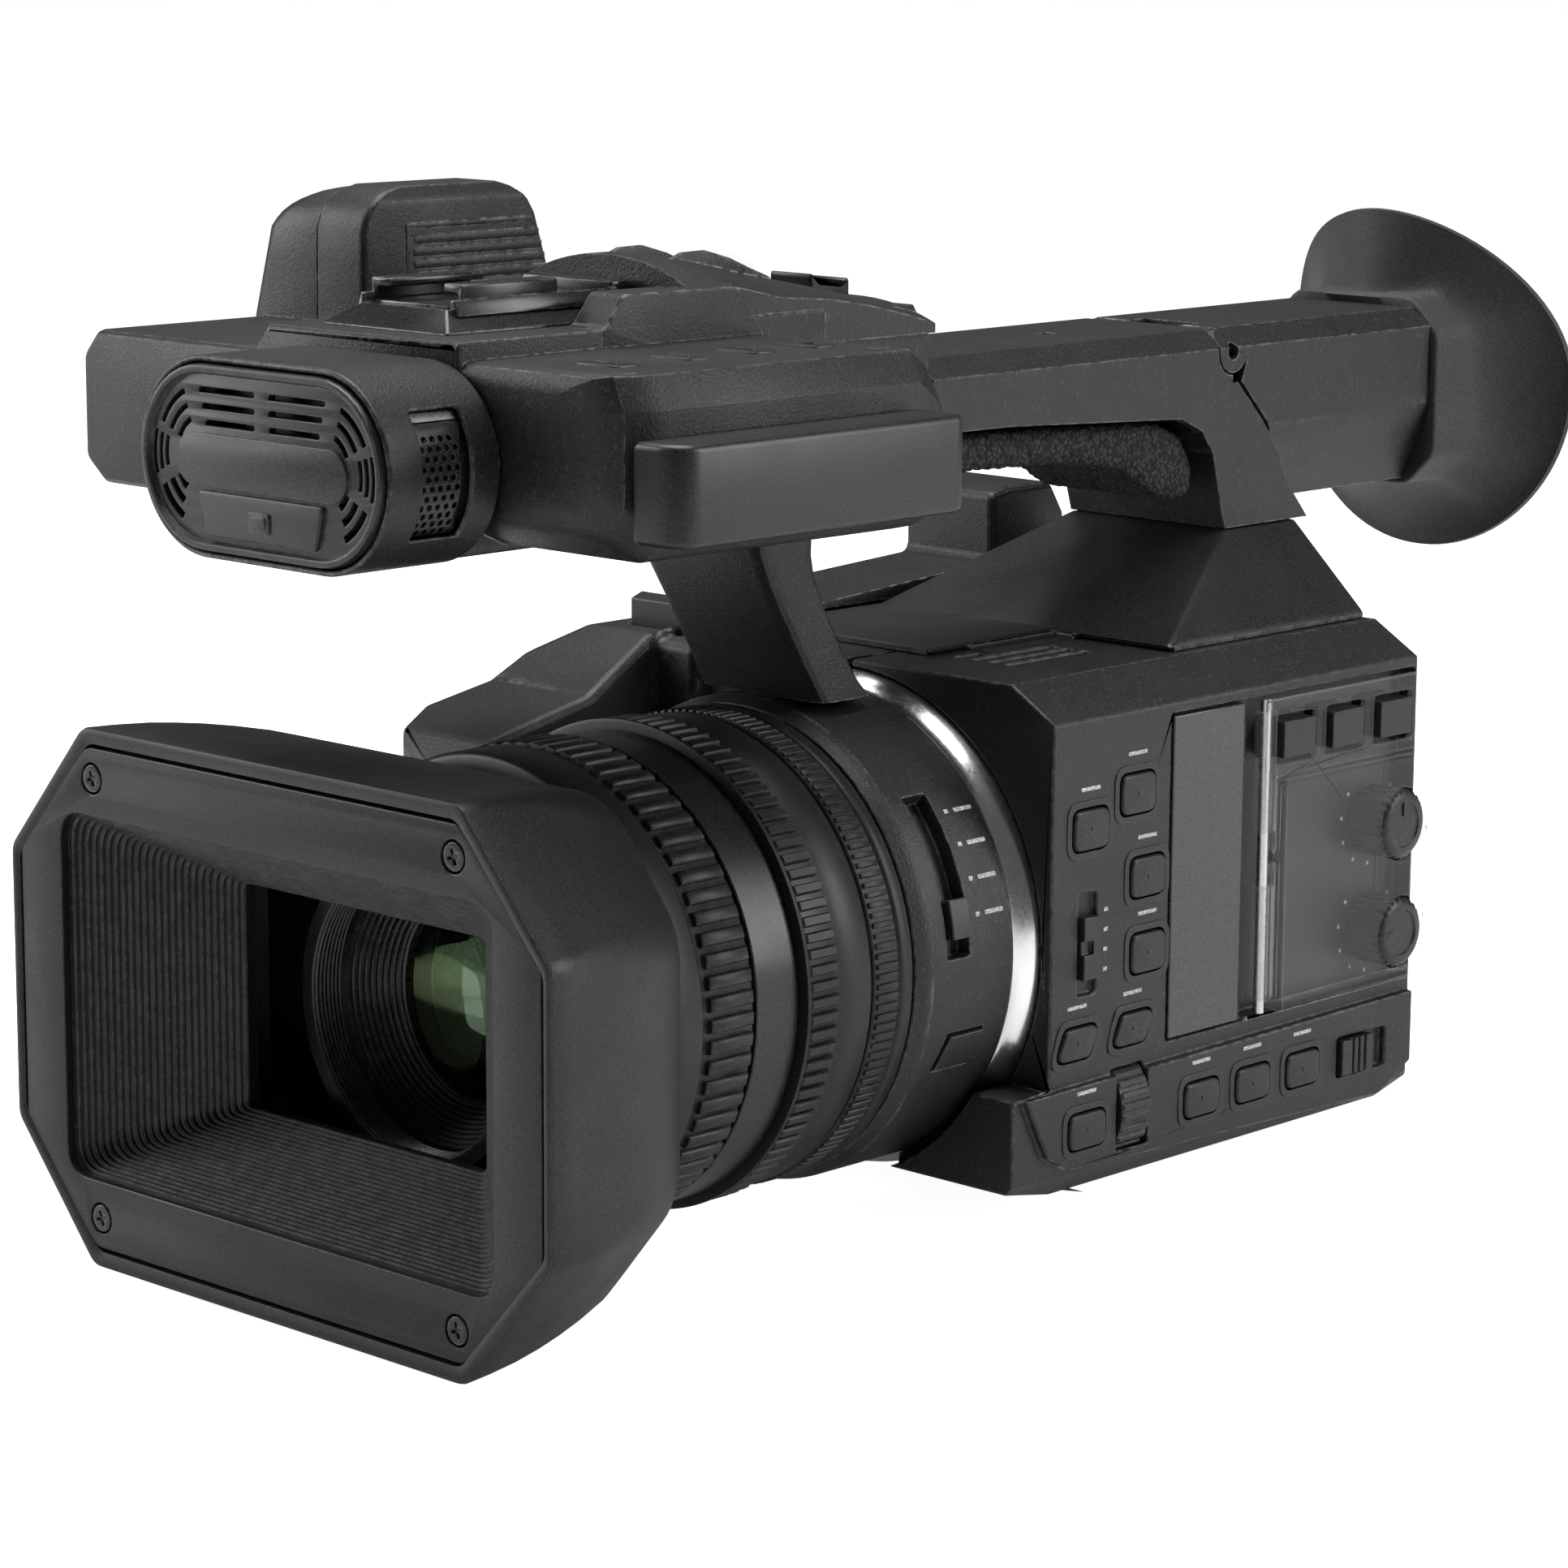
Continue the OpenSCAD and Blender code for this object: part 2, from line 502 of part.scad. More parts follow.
module lcd_case(inset) intersection() {
    i = inset;
    along_x(19, 57 - i) polygon([[25 + i, 84], [25 + i, 108.3 - i], [27 + i, case_top - i], [91.6 - i, case_top - i],
        [96 - i, 106.8 - i], [102 - i, 99.5 - i], [102 - i, 83], [98 - i, 80 + i], [34 + i, 80 + i]]);
    along_y(20, 110) polygon([[19, 80 + i], [52 - i, 80 + i], [57 - i, 84 + i], [57 - i, 104.5 - i],
        [54.5 - i, case_top - i], [19, case_top - i]]);
}
module slab_cavity(grow) box([-27 - grow, 29.6 - grow, 85.6 - grow], [80, 89.4 + grow, 98.4 + grow]);
module front_housing() lens_frame() color(casing) difference() {
    union() {
        difference() {
            along_y(24.3, deck_rear) deck_section(0);
            along_y(24.3 + wall, deck_rear - wall) deck_section(wall);
        }
        difference() {
            lcd_case(0);
            difference() {
                lcd_case(wall);
                box([0, 0, 0], [20.5, big, big]);
            }
        }
        along_x(13, 20) polygon([[57, 110], [57, 112.7], [60.5, 118], [87, 117.8], [98.5, 115.3], [110.5, 114.3],
            [120.7, 112.6], [deck_rear, 108.8], [deck_rear, 100]]);
        along_x(-15, 15) polygon([[76, 110], [76, 121.5], [81, 122.3], [89, 121.6], [98, 118.6], [110, 118],
            [122, 116], [deck_rear, 112.6], [deck_rear, 106]]);
        along_x(-15, 15) polygon([[92, 79.5], [109, 79.5], [110, 70], [129, 40], [115.5, 40], [98, 71]]);
        intersection() {
            slab_cavity(1.5);
            union() {
                along_y(24.5, deck_rear - 0.2) deck_section(0.1);
                lcd_case(0.1);
            }
        }
    }
    slab_cavity(0);
    ring(0, barrel_r + 0.15, 100, 140);
    for (y = lcd_button_y) box([lcd_button_x - 5.4, y - 3.4, 104.3], [lcd_button_x + 5.4, y + 3.4, 114]);
    disc_z(115, 125, 0, 104, 6.5);
    box([-5.4, 120.2, 110.8], [5.4, 131.8, 120]);
}
module lcd_button(i) lens_frame() color(cap_black) {
    y = lcd_button_y[i];
    box([lcd_button_x - 5, y - 3, 106.4], [lcd_button_x + 5, y + 3, 110.2]);
    box([lcd_button_x - 6, y - 4, 106.2], [lcd_button_x + 6, y + 4, 107.2]);
}
module lcd_button_1() { lcd_button(0); }
module lcd_button_2() { lcd_button(1); }
module lcd_button_3() { lcd_button(2); }
module lcd_button_4() { lcd_button(3); }
module lcd_slab() lens_frame() color(smooth) {
    box([-26, 30, 86.2], [58, 89, 97.8]);
    hull() {
        box([57.6, 25.5, 85.5], [60, 91, 99.5]);
        box([57.6, 31, 84.5], [68, 90.5, 100.5]);
    }
}
module top_record_button() lens_frame() color(glass_tint) {
    disc_z(116, 120, 0, 104, 6);
    intersection() {
        translate([0, 104, 112.2]) sphere(9.4, $fn = 64);
        disc_z(119.7, 124, 0, 104, 6);
    }
}
// The two zoom levers rock on a round pivot across their width.
module handle_zoom_lever() lens_frame() color(cap_black) {
    along_x(-5, 5) polygon([[121, 112.2], [131, 112.2], [131, 116.2], [128.5, 114.8], [123.5, 115.6], [121, 117.8]]);
    disc_x(-5.2, 5.2, 126, 112.6, 1.2);
}
module microphone_housing() lens_frame() color(casing) difference() {
    along_y(1, 24) translate([0, mic_z]) rounded(2 * mic_half_w + 2.4, 2 * mic_half_h + 2.4, mic_half_h + 1.1);
    along_y(0, 21.5) translate([0, mic_z]) rounded(2 * mic_half_w + 0.4, 2 * mic_half_h + 0.4, mic_half_h);
    for (s = [-1, 1]) box([s > 0 ? 22 : -big, 8, mic_z - 10], [s > 0 ? big : -22, 18, mic_z + 10]);
}
module microphone_grille() lens_frame() color(cap_black) {
    difference() {
        along_y(0, 3) translate([0, mic_z]) rounded(2 * mic_half_w, 2 * mic_half_h, mic_half_h - 0.3);
        for (s = [-1, 1]) for (k = [0 : 2]) box([s > 0 ? 1 : -17, -1, mic_z + 6.6 + 2.6 * k],
            [s > 0 ? 17 : -1, 5, mic_z + 7.8 + 2.6 * k]);
    }
    difference() {
        along_y(6, 20) translate([0, mic_z]) rounded(2 * mic_half_w, 2 * mic_half_h, mic_half_h - 0.3);
        along_y(5, 21) translate([0, mic_z]) rounded(2 * mic_half_w - 2, 2 * mic_half_h - 2, mic_half_h - 1.3);
    }
}
module accessory_shoe() lens_frame() color(steel) difference() {
    along_y(30, 75.7) polygon([[shoe_x - 15, deck_top + 0.1], [shoe_x + 15, deck_top + 0.1], [shoe_x + 11, 120.3],
        [shoe_x - 11, 120.3]]);
    box([shoe_x - shoe_w / 2, 29, shoe_z], [shoe_x + shoe_w / 2, 71, shoe_z + 2.3]);
    box([shoe_x - 6.3, 29, shoe_z + 1], [shoe_x + 6.3, 71, 122]);
    along_x(-30, 13) polygon([[29, 112], [29, 122], [38, 122], [31, 113.4], [31, 112]]);
}
module terminal_block() lens_frame() color(casing) difference() {
    union() {
        along_y(26, 111) polygon([[-77, 86], [-72, 82], [-30.3, 82.2], [-30.3, 107], [-34, 108.4], [-73, 108.4],
            [-77, 104]]);
        intersection() {
            along_y(60, 112) polygon([[-77, 108.2], [-72.4, 125], [-69, 128.6], [-61, 131.4], [-46, 131.8],
                [-46, 108.2]]);
            along_x(-80, -40) polygon([[63, 108.3], [109.8, 108.3], [102.8, 128.5], [98.8, 131.8], [71, 131.8],
                [65.5, 129.6], [63, 124.5]]);
        }
    }
    for (y = [46, 80]) difference() {
        disc_x(-90, -61, y, 95.3, 10.2);
        disc_x(-90, -60, y, 95.3, 7.6);
    }
    for (y = [46, 80]) for (a = [90, 210, 330]) disc_x(-90, -66, y + 4 * cos(a), 95.3 + 4 * sin(a), 1.3);
    for (i = [0 : 3]) box([-47.2, 73, 114.6 + 2.3 * i], [-40, 110, 115.2 + 2.3 * i]);
}

// ---- Viewfinder ----
module evf_section(inset) polygon([[14.5 - inset, handle_top - inset], [handle_half_w - inset, 98.6 - inset / 2],
    [handle_half_w - inset, 83.5], [13 - inset, 68 + inset], [inset - 13, 68 + inset],
    [inset - handle_half_w, 83.5], [inset - handle_half_w, 98.6 - inset / 2], [inset - 14.5, handle_top - inset]]);
module viewfinder() lens_frame() color(casing) difference() {
    intersection() {
        union() {
            along_x(-20, 20) polygon([[evf_pivot[0], evf_pivot[1] - 2], [226, 96], [224.6, 92], [232.6, 84],
                [237.7, 77.7], [240.4, 71.8], [247, 64.5], [286, 60], [286, 110], [evf_pivot[0], 110]]);
            disc_x(-20, 20, evf_pivot[0], evf_pivot[1], knuckle_r);
        }
        along_y(210, 286) evf_section(0);
    }
    along_y(244, 288) evf_section(wall);
    box([-6.4, 210, 90], [6.4, evf_pivot[0] + 4.8, 110]);
    disc_x(-20, 20, evf_pivot[0], evf_pivot[1], pin_r + running_gap);
}
module eyepiece_lens() lens_frame() color(glass_tint) disc_y(278, 283, 0, eye_z, 13.6);
module eyecup() lens_frame() color(rubber) difference() {
    union() {
        along_y(284, 297) octagon_at(eye_z - 0.3, 20.6, 19.2);
        translate([0, 0, eye_z]) around_lens() polygon([[15, 294], [22, 294], [34, 308], [34, 310], [32.2, 310],
            [20.5, 297], [15, 297]]);
    }
    along_y(280, 286.2) evf_section(-0.1);
    disc_y(280, 300, 0, eye_z, 15.2);
}
module octagon_at(z, half_w, half_h) translate([0, z]) octagon(half_w, half_h, 7, 7);

// ---- Grip side and rear ----
module zoom_rocker() lens_frame() color(cap_black) {
    along_x(-59, -45) polygon([[140.2, 44.4], [157.8, 45.6], [157.8, 50.6], [150, 50], [143, 52.4], [140.2, 51.4]]);
    disc_x(-59.2, -44.8, 149, 46, 1.6);
}
module record_button() lens_frame() color([0.5, 0.05, 0.05]) disc_y(235.5, 243.6, -62, 8, 6.9);
module hand_strap() lens_frame() color(rubber) translate([0, 0, -24]) linear_extrude(46) polygon([[-77.3, 112],
    [-86, 124], [-91, 150], [-92, 175], [-91, 200], [-86, 226], [-77.3, 238], [-76.6, 230], [-82, 220],
    [-86, 198], [-87, 175], [-86, 152], [-82, 130], [-76.6, 120]]);
module battery() lens_frame() color(cap_black) box([-26, body_rear - 3.6, -30], [10, 270, 26]);

hood_shell();
hood_face();
hood_screws();
filter_ring();
front_lens();
lens_tube();
focus_ring();
zoom_ring();
iris_ring();
lens_barrel();
nd_slider();
iris_button();
trim_ring();
left_body_shell();
right_body_shell();
base_plate();
circuit_boards();
top_cover();
side_panel();
audio_door();
hinge_pins();
volume_dial_1();
volume_dial_2();
jog_dial();
focus_switch();
mode_switch();
wall_button("user_button_1");  // user_button_1
wall_button("user_button_2");  // user_button_2
wall_button("user_button_3");  // user_button_3
wall_button("user_button_4");  // user_button_4
wall_button("user_button_5");  // user_button_5
wall_button("push_focus_button");  // push_focus_button
strip_button("menu_button");  // menu_button
strip_button("gain_button");  // gain_button
strip_button("white_balance_button");  // white_balance_button
strip_button("shutter_button");  // shutter_button
door_button("stabiliser_button");  // stabiliser_button
door_button("zebra_button");  // zebra_button
door_button("display_button");  // display_button
handle_shell();
handle_pad();
accessory_shoe();
microphone_housing();
microphone_grille();
terminal_block();
front_housing();
lcd_slab();
lcd_button_1();
lcd_button_2();
lcd_button_3();
lcd_button_4();
top_record_button();
handle_zoom_lever();
viewfinder();
eyepiece_lens();
eyecup();
zoom_rocker();
record_button();
hand_strap();
battery();
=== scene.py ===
"""Looks of a handheld camcorder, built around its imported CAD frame.

Lengths in this script are millimetres in the lens frame: origin on the lens axis at the hood's front plane,
x towards the control side, y backwards, z up. at() turns them into the part frame's metres.
"""

import json
import math

import bmesh
import bpy
import numpy as np
from mathutils import Matrix, Vector


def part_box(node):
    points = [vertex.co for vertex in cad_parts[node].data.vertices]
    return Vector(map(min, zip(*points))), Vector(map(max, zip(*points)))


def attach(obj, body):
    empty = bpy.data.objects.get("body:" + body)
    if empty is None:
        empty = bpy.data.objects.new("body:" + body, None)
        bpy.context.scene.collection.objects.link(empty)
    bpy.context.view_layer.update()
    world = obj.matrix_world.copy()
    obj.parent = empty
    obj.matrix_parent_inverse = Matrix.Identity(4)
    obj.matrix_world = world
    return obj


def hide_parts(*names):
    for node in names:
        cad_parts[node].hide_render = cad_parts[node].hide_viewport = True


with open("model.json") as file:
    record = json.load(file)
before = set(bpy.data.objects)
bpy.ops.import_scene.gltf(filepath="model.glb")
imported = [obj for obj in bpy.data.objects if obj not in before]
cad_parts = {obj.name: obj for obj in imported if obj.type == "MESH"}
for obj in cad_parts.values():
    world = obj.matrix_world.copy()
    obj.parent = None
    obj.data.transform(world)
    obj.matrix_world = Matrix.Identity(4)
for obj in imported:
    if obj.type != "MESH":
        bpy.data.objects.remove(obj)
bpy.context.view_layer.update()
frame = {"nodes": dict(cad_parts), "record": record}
RECORD = frame["record"]
BODY_OF = {node: body for body, nodes in RECORD["behaviour"]["bodies"].items() for node in nodes}
SLOT_OF = {part["node"]: part["material_slot"] for part in RECORD["subparts"]}
MM = 0.001
ring_low, ring_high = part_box("focus_ring")
ORIGIN = Vector(((ring_low.x + ring_high.x) / 2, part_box("hood_shell")[0].y, (ring_low.z + ring_high.z) / 2))


def at(x, y, z):
    """A point of the lens frame, in mm, as a point of the part frame in metres."""
    return ORIGIN + Vector((x, y, z)) * MM


# ---- camera, light and floor

# The camera was solved from the photo's straight edges: degrees, metres and millimetres.
AZIMUTH, ELEVATION, ROLL = 43.537, 11.0075, 0.3403
CAMERA_AT = (0.562388, -0.646613, 0.235353)
FOCAL_LENGTH, SENSOR = 107.52, 36.0
# The camera sees a white backdrop and floor; what lights the object from them is far dimmer.
ROOM_LIGHT, BACKDROP_LIGHT = 0.1, 1.0
FLOOR_BOUNCE, FLOOR_GLOW = 0.06, 0.95
FLOOR_SIZE, FLOOR_GAP = 6, 0.0002


def make_camera():
    """The photo's camera, from where it stood and which way it looked."""
    a, e, roll = math.radians(AZIMUTH), math.radians(ELEVATION), math.radians(ROLL)
    back = Vector((math.sin(a) * math.cos(e), -math.cos(a) * math.cos(e), math.sin(e)))
    right = (-back).cross(Vector((0, 0, 1))).normalized()
    up = back.cross(right)
    tilted_right = math.cos(roll) * right + math.sin(roll) * up
    tilted_up = math.cos(roll) * up - math.sin(roll) * right
    data = bpy.data.cameras.new("camera")
    data.lens, data.sensor_width = FOCAL_LENGTH, SENSOR
    camera = bpy.data.objects.new("camera", data)
    bpy.context.scene.collection.objects.link(camera)
    turn = Matrix((tilted_right, tilted_up, back)).transposed()
    camera.matrix_world = Matrix.Translation(CAMERA_AT) @ turn.to_4x4()
    bpy.context.scene.camera = camera


def area_light(name, place, target, size, power):
    """A softbox that faces a target; its place and size are in metres and its power in watts."""
    data = bpy.data.lights.new(name, "AREA")
    data.shape, data.size, data.size_y, data.energy = "RECTANGLE", size[0], size[1], power
    lamp = bpy.data.objects.new(name, data)
    bpy.context.scene.collection.objects.link(lamp)
    lamp.location = place
    lamp.rotation_mode = "QUATERNION"
    lamp.rotation_quaternion = (Vector(target) - Vector(place)).to_track_quat("-Z", "Y")


def make_world():
    """A dim room round the object, with a white backdrop that only the camera sees."""
    world = bpy.data.worlds.new("studio")
    bpy.context.scene.world = world
    world.use_nodes = True
    tree = world.node_tree
    room = tree.nodes["Background"]
    room.inputs["Color"].default_value = (1, 1, 1, 1)
    room.inputs["Strength"].default_value = ROOM_LIGHT
    backdrop = tree.nodes.new("ShaderNodeBackground")
    backdrop.inputs["Color"].default_value = (1, 1, 1, 1)
    backdrop.inputs["Strength"].default_value = BACKDROP_LIGHT
    seen = tree.nodes.new("ShaderNodeLightPath")
    mixed = tree.nodes.new("ShaderNodeMixShader")
    tree.links.new(seen.outputs["Is Camera Ray"], mixed.inputs[0])
    tree.links.new(room.outputs[0], mixed.inputs[1])
    tree.links.new(backdrop.outputs[0], mixed.inputs[2])
    tree.links.new(mixed.outputs[0], tree.nodes["World Output"].inputs["Surface"])


def make_lights():
    middle = (0, 0, 0.06)
    area_light("top_softbox", (-0.1, 0.0, 0.95), middle, (0.6, 0.9), 12)
    area_light("left_softbox", (-0.85, -0.6, 0.5), middle, (0.35, 0.8), 8)
    area_light("right_softbox", (0.8, 0.55, 0.45), middle, (0.3, 0.7), 7)


def make_floor():
    """A pale floor under the base plate, which looks as bright as the backdrop to the camera."""
    bm = bmesh.new()
    bmesh.ops.create_grid(bm, x_segments=24, y_segments=24, size=FLOOR_SIZE)
    mesh = bpy.data.meshes.new("floor")
    bm.to_mesh(mesh)
    bm.free()
    floor = bpy.data.objects.new("floor", mesh)
    bpy.context.scene.collection.objects.link(floor)
    floor.location.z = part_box("base_plate")[0].z - FLOOR_GAP
    paint = bpy.data.materials.new("floor_paint")
    paint.use_nodes = True
    shader = paint.node_tree.nodes["Principled BSDF"]
    shader.inputs["Base Color"].default_value = (0.93, 0.93, 0.93, 1)
    shader.inputs["Roughness"].default_value = 0.75
    shader.inputs["Specular IOR Level"].default_value = 0.2
    shader.inputs["Emission Color"].default_value = (1, 1, 1, 1)
    looked_at = paint.node_tree.nodes.new("ShaderNodeLightPath")
    glow = paint.node_tree.nodes.new("ShaderNodeMapRange")
    glow.inputs["To Min"].default_value = FLOOR_BOUNCE
    glow.inputs["To Max"].default_value = FLOOR_GLOW
    paint.node_tree.links.new(looked_at.outputs["Is Camera Ray"], glow.inputs["Value"])
    paint.node_tree.links.new(glow.outputs["Result"], shader.inputs["Emission Strength"])
    mesh.materials.append(paint)


# ---- materials


class Nodes:
    """A short way to write a material's nodes."""

    def __init__(self, name):
        self.material = bpy.data.materials.new(name)
        self.material.use_nodes = True
        self.tree = self.material.node_tree
        self.shader = self.tree.nodes["Principled BSDF"]
        self.place = self.add("ShaderNodeTexCoord").outputs["Object"]

    def add(self, kind, **settings):
        node = self.tree.nodes.new(kind)
        for key, value in settings.items():
            setattr(node, key, value)
        return node

    def link(self, source, target):
        self.tree.links.new(source, target)

    def noise(self, size_mm, detail=2.0, roughness=0.5, stretch=None):
        node = self.add("ShaderNodeTexNoise")
        node.inputs["Scale"].default_value = 1 / (size_mm * MM)
        node.inputs["Detail"].default_value = detail
        node.inputs["Roughness"].default_value = roughness
        self.link(self.stretched(stretch), node.inputs["Vector"])
        return node.outputs["Fac"]

    def stretched(self, stretch):
        if not stretch:
            return self.place
        mapping = self.add("ShaderNodeMapping")
        mapping.inputs["Scale"].default_value = stretch
        self.link(self.place, mapping.inputs["Vector"])
        return mapping.outputs["Vector"]

    def cells(self, size_mm):
        node = self.add("ShaderNodeTexVoronoi", feature="F1")
        node.inputs["Scale"].default_value = 1 / (size_mm * MM)
        self.link(self.place, node.inputs["Vector"])
        return node.outputs["Distance"]

    def ramp(self, source, low, high, to_low=0.0, to_high=1.0):
        node = self.add("ShaderNodeMapRange")
        for key, value in (("From Min", low), ("From Max", high), ("To Min", to_low), ("To Max", to_high)):
            node.inputs[key].default_value = value
        self.link(source, node.inputs["Value"])
        return node.outputs["Result"]

    def math(self, operation, a, b):
        node = self.add("ShaderNodeMath", operation=operation)
        for socket, value in zip(node.inputs, (a, b)):
            if isinstance(value, (int, float)):
                socket.default_value = value
            else:
                self.link(value, socket)
        return node.outputs["Value"]

    def mix(self, factor, a, b):
        node = self.add("ShaderNodeMix", data_type="RGBA")
        self.link(factor, node.inputs[0])
        for socket, value in ((node.inputs[6], a), (node.inputs[7], b)):
            if isinstance(value, tuple):
                socket.default_value = (*value, 1)
            else:
                self.link(value, socket)
        return node.outputs[2]

    def bump(self, height, strength, depth_mm, after=None):
        node = self.add("ShaderNodeBump")
        node.inputs["Strength"].default_value = strength
        node.inputs["Distance"].default_value = depth_mm * MM
        self.link(height, node.inputs["Height"])
        if after:
            self.link(after, node.inputs["Normal"])
        return node.outputs["Normal"]

    def edges(self, radius_mm):
        """1 on outer edges, 0 on flat faces."""
        bevel = self.add("ShaderNodeBevel", samples=4)
        bevel.inputs["Radius"].default_value = radius_mm * MM
        geometry = self.add("ShaderNodeNewGeometry")
        dot = self.add("ShaderNodeVectorMath", operation="DOT_PRODUCT")
        self.link(bevel.outputs["Normal"], dot.inputs[0])
        self.link(geometry.outputs["True Normal"], dot.inputs[1])
        return self.ramp(dot.outputs["Value"], 0.985, 0.9)


STRONG_FLECK = 0.8


def moulded(name, colour, rough, grain, bump, fleck, wear_and_highlight,
            wear_and_highlight_colour=(0.2, 0.2, 0.2), coat=0.0, specular=0.35, sheen=0.0, edge_mm=0.35):
    """Moulded plastic, paint or rubber: fine grain, cloudy roughness, light flecks, and edges painted lighter
    as wear and as a highlight.

    grain is its size in mm; bump and fleck are how strong the relief and the tone are, and the weight after
    them how much lighter the edges are painted, as wear and highlight together.
    """
    n = Nodes(name)
    fine = n.noise(grain, 3, 0.6)
    cloud = n.noise(17, 3, 0.55)
    light = tuple(min(1, c * 2.1 + 0.012) for c in colour)
    dark = tuple(c * 0.6 for c in colour)
    tone = n.mix(n.ramp(fine, 0.5 - 0.22 * fleck, 0.5 + 0.3 * fleck + 0.05), dark, light)
    tone = n.mix(n.ramp(cloud, 0.3, 0.7, 0.0, 0.25), tone, tuple(c * 1.5 for c in colour))
    if fleck > STRONG_FLECK:
        specks = n.ramp(n.noise(0.75, 2, 0.55, (1, 1, 0.6)), 0.6, 0.72, 0.0, 0.5)
        tone = n.mix(specks, tone, (0.06, 0.06, 0.06))
    # Painted highlight and wear together: edges, inner ones too, are made lighter in broken patches, standing
    # for rubbed paint and for light caught on them.
    scuffs_and_glints = n.ramp(n.noise(2.2, 4, 0.7), 0.42, 0.6)
    worn_and_highlit = n.math("MULTIPLY", n.math("MULTIPLY", n.edges(edge_mm), scuffs_and_glints), wear_and_highlight)
    n.link(n.mix(worn_and_highlit, tone, wear_and_highlight_colour), n.shader.inputs["Base Color"])
    n.link(n.ramp(cloud, 0.25, 0.75, rough - 0.07, rough + 0.07), n.shader.inputs["Roughness"])
    n.link(n.bump(fine, bump, grain * 0.35), n.shader.inputs["Normal"])
    n.shader.inputs["Coat Weight"].default_value = coat
    n.shader.inputs["Coat Roughness"].default_value = 0.08
    n.shader.inputs["Specular IOR Level"].default_value = specular
    n.shader.inputs["Sheen Weight"].default_value = sheen
    return n.material


def metal(name, colour, rough):
    """Bare metal with a fine streak in its gloss."""
    n = Nodes(name)
    streak = n.noise(0.6, 3, 0.6)
    cloud = n.noise(11, 3, 0.5)
    tone = n.mix(n.ramp(cloud, 0.3, 0.7), tuple(c * 0.86 for c in colour), colour)
    n.link(tone, n.shader.inputs["Base Color"])
    n.link(n.ramp(streak, 0.3, 0.7, rough - 0.05, rough + 0.06), n.shader.inputs["Roughness"])
    n.link(n.bump(streak, 0.12, 0.02), n.shader.inputs["Normal"])
    n.shader.inputs["Metallic"].default_value = 1.0
    return n.material


def clear(name, tint):
    """Clear moulded plastic, seen through from the front, with a painted highlight along its edges, where it
    is made more opaque.
    """
    n = Nodes(name)
    haze = n.noise(6, 3, 0.5)
    n.link(n.ramp(haze, 0.3, 0.7, 0.04, 0.09), n.shader.inputs["Roughness"])
    n.link(n.bump(haze, 0.02, 0.02), n.shader.inputs["Normal"])
    # Painted highlight: the edges turn more opaque, so the grey tint shows along them as caught light.
    n.link(n.ramp(n.edges(0.5), 0.0, 1.0, 0.08, 0.5), n.shader.inputs["Alpha"])
    n.shader.inputs["Base Color"].default_value = (*tint, 1)
    return n.material


def coated_glass(name):
    """Multi-coated glass: deep and dark, with green, amber and violet in its reflections."""
    n = Nodes(name)
    facing = n.add("ShaderNodeLayerWeight")
    facing.inputs["Blend"].default_value = 0.35
    ramp = n.add("ShaderNodeValToRGB")
    stops = ramp.color_ramp.elements
    stops[0].position, stops[0].color = 0.0, (0.75, 0.95, 0.45, 1)
    stops[1].position, stops[1].color = 1.0, (0.85, 0.5, 0.9, 1)
    middle = stops.new(0.45)
    middle.color = (0.35, 0.9, 0.7, 1)
    n.link(facing.outputs["Facing"], ramp.inputs["Fac"])
    n.link(ramp.outputs["Color"], n.shader.inputs["Specular Tint"])
    n.link(n.ramp(n.noise(9, 2), 0.3, 0.7, 0.01, 0.03), n.shader.inputs["Roughness"])
    n.shader.inputs["Base Color"].default_value = (0.9, 1, 0.95, 1)
    n.shader.inputs["Transmission Weight"].default_value = 1.0
    n.shader.inputs["IOR"].default_value = 1.6
    return n.material


def foam(name):
    """Black open-cell foam: dark pores over a grey skin."""
    n = Nodes(name)
    pores = n.cells(0.9)
    fine = n.noise(0.5, 3, 0.7)
    tone = n.mix(n.ramp(pores, 0.1, 0.6), (0.05, 0.05, 0.052), (0.004, 0.004, 0.004))
    n.link(tone, n.shader.inputs["Base Color"])
    n.shader.inputs["Roughness"].default_value = 0.9
    n.link(n.bump(fine, 0.6, 0.3, n.bump(pores, 0.9, 0.6)), n.shader.inputs["Normal"])
    return n.material


def woven(name, colour):
    """Woven webbing, with its two sets of threads crossing."""
    thread_scale = 420
    n = Nodes(name)
    wave = n.add("ShaderNodeTexWave", bands_direction="Z")
    wave.inputs["Scale"].default_value = thread_scale
    wave.inputs["Distortion"].default_value = 0.6
    n.link(n.place, wave.inputs["Vector"])
    warp = n.add("ShaderNodeTexWave", bands_direction="Y")
    warp.inputs["Scale"].default_value = thread_scale
    n.link(n.place, warp.inputs["Vector"])
    weave = n.math("MULTIPLY", wave.outputs["Fac"], warp.outputs["Fac"])
    fuzz = n.noise(0.7, 3, 0.7)
    tone = n.mix(weave, tuple(c * 0.5 for c in colour), tuple(c * 2 for c in colour))
    n.link(tone, n.shader.inputs["Base Color"])
    n.link(n.ramp(fuzz, 0.2, 0.8, 0.75, 0.95), n.shader.inputs["Roughness"])
    n.link(n.bump(fuzz, 0.3, 0.1, n.bump(weave, 0.6, 0.25)), n.shader.inputs["Normal"])
    n.shader.inputs["Sheen Weight"].default_value = 0.3
    return n.material
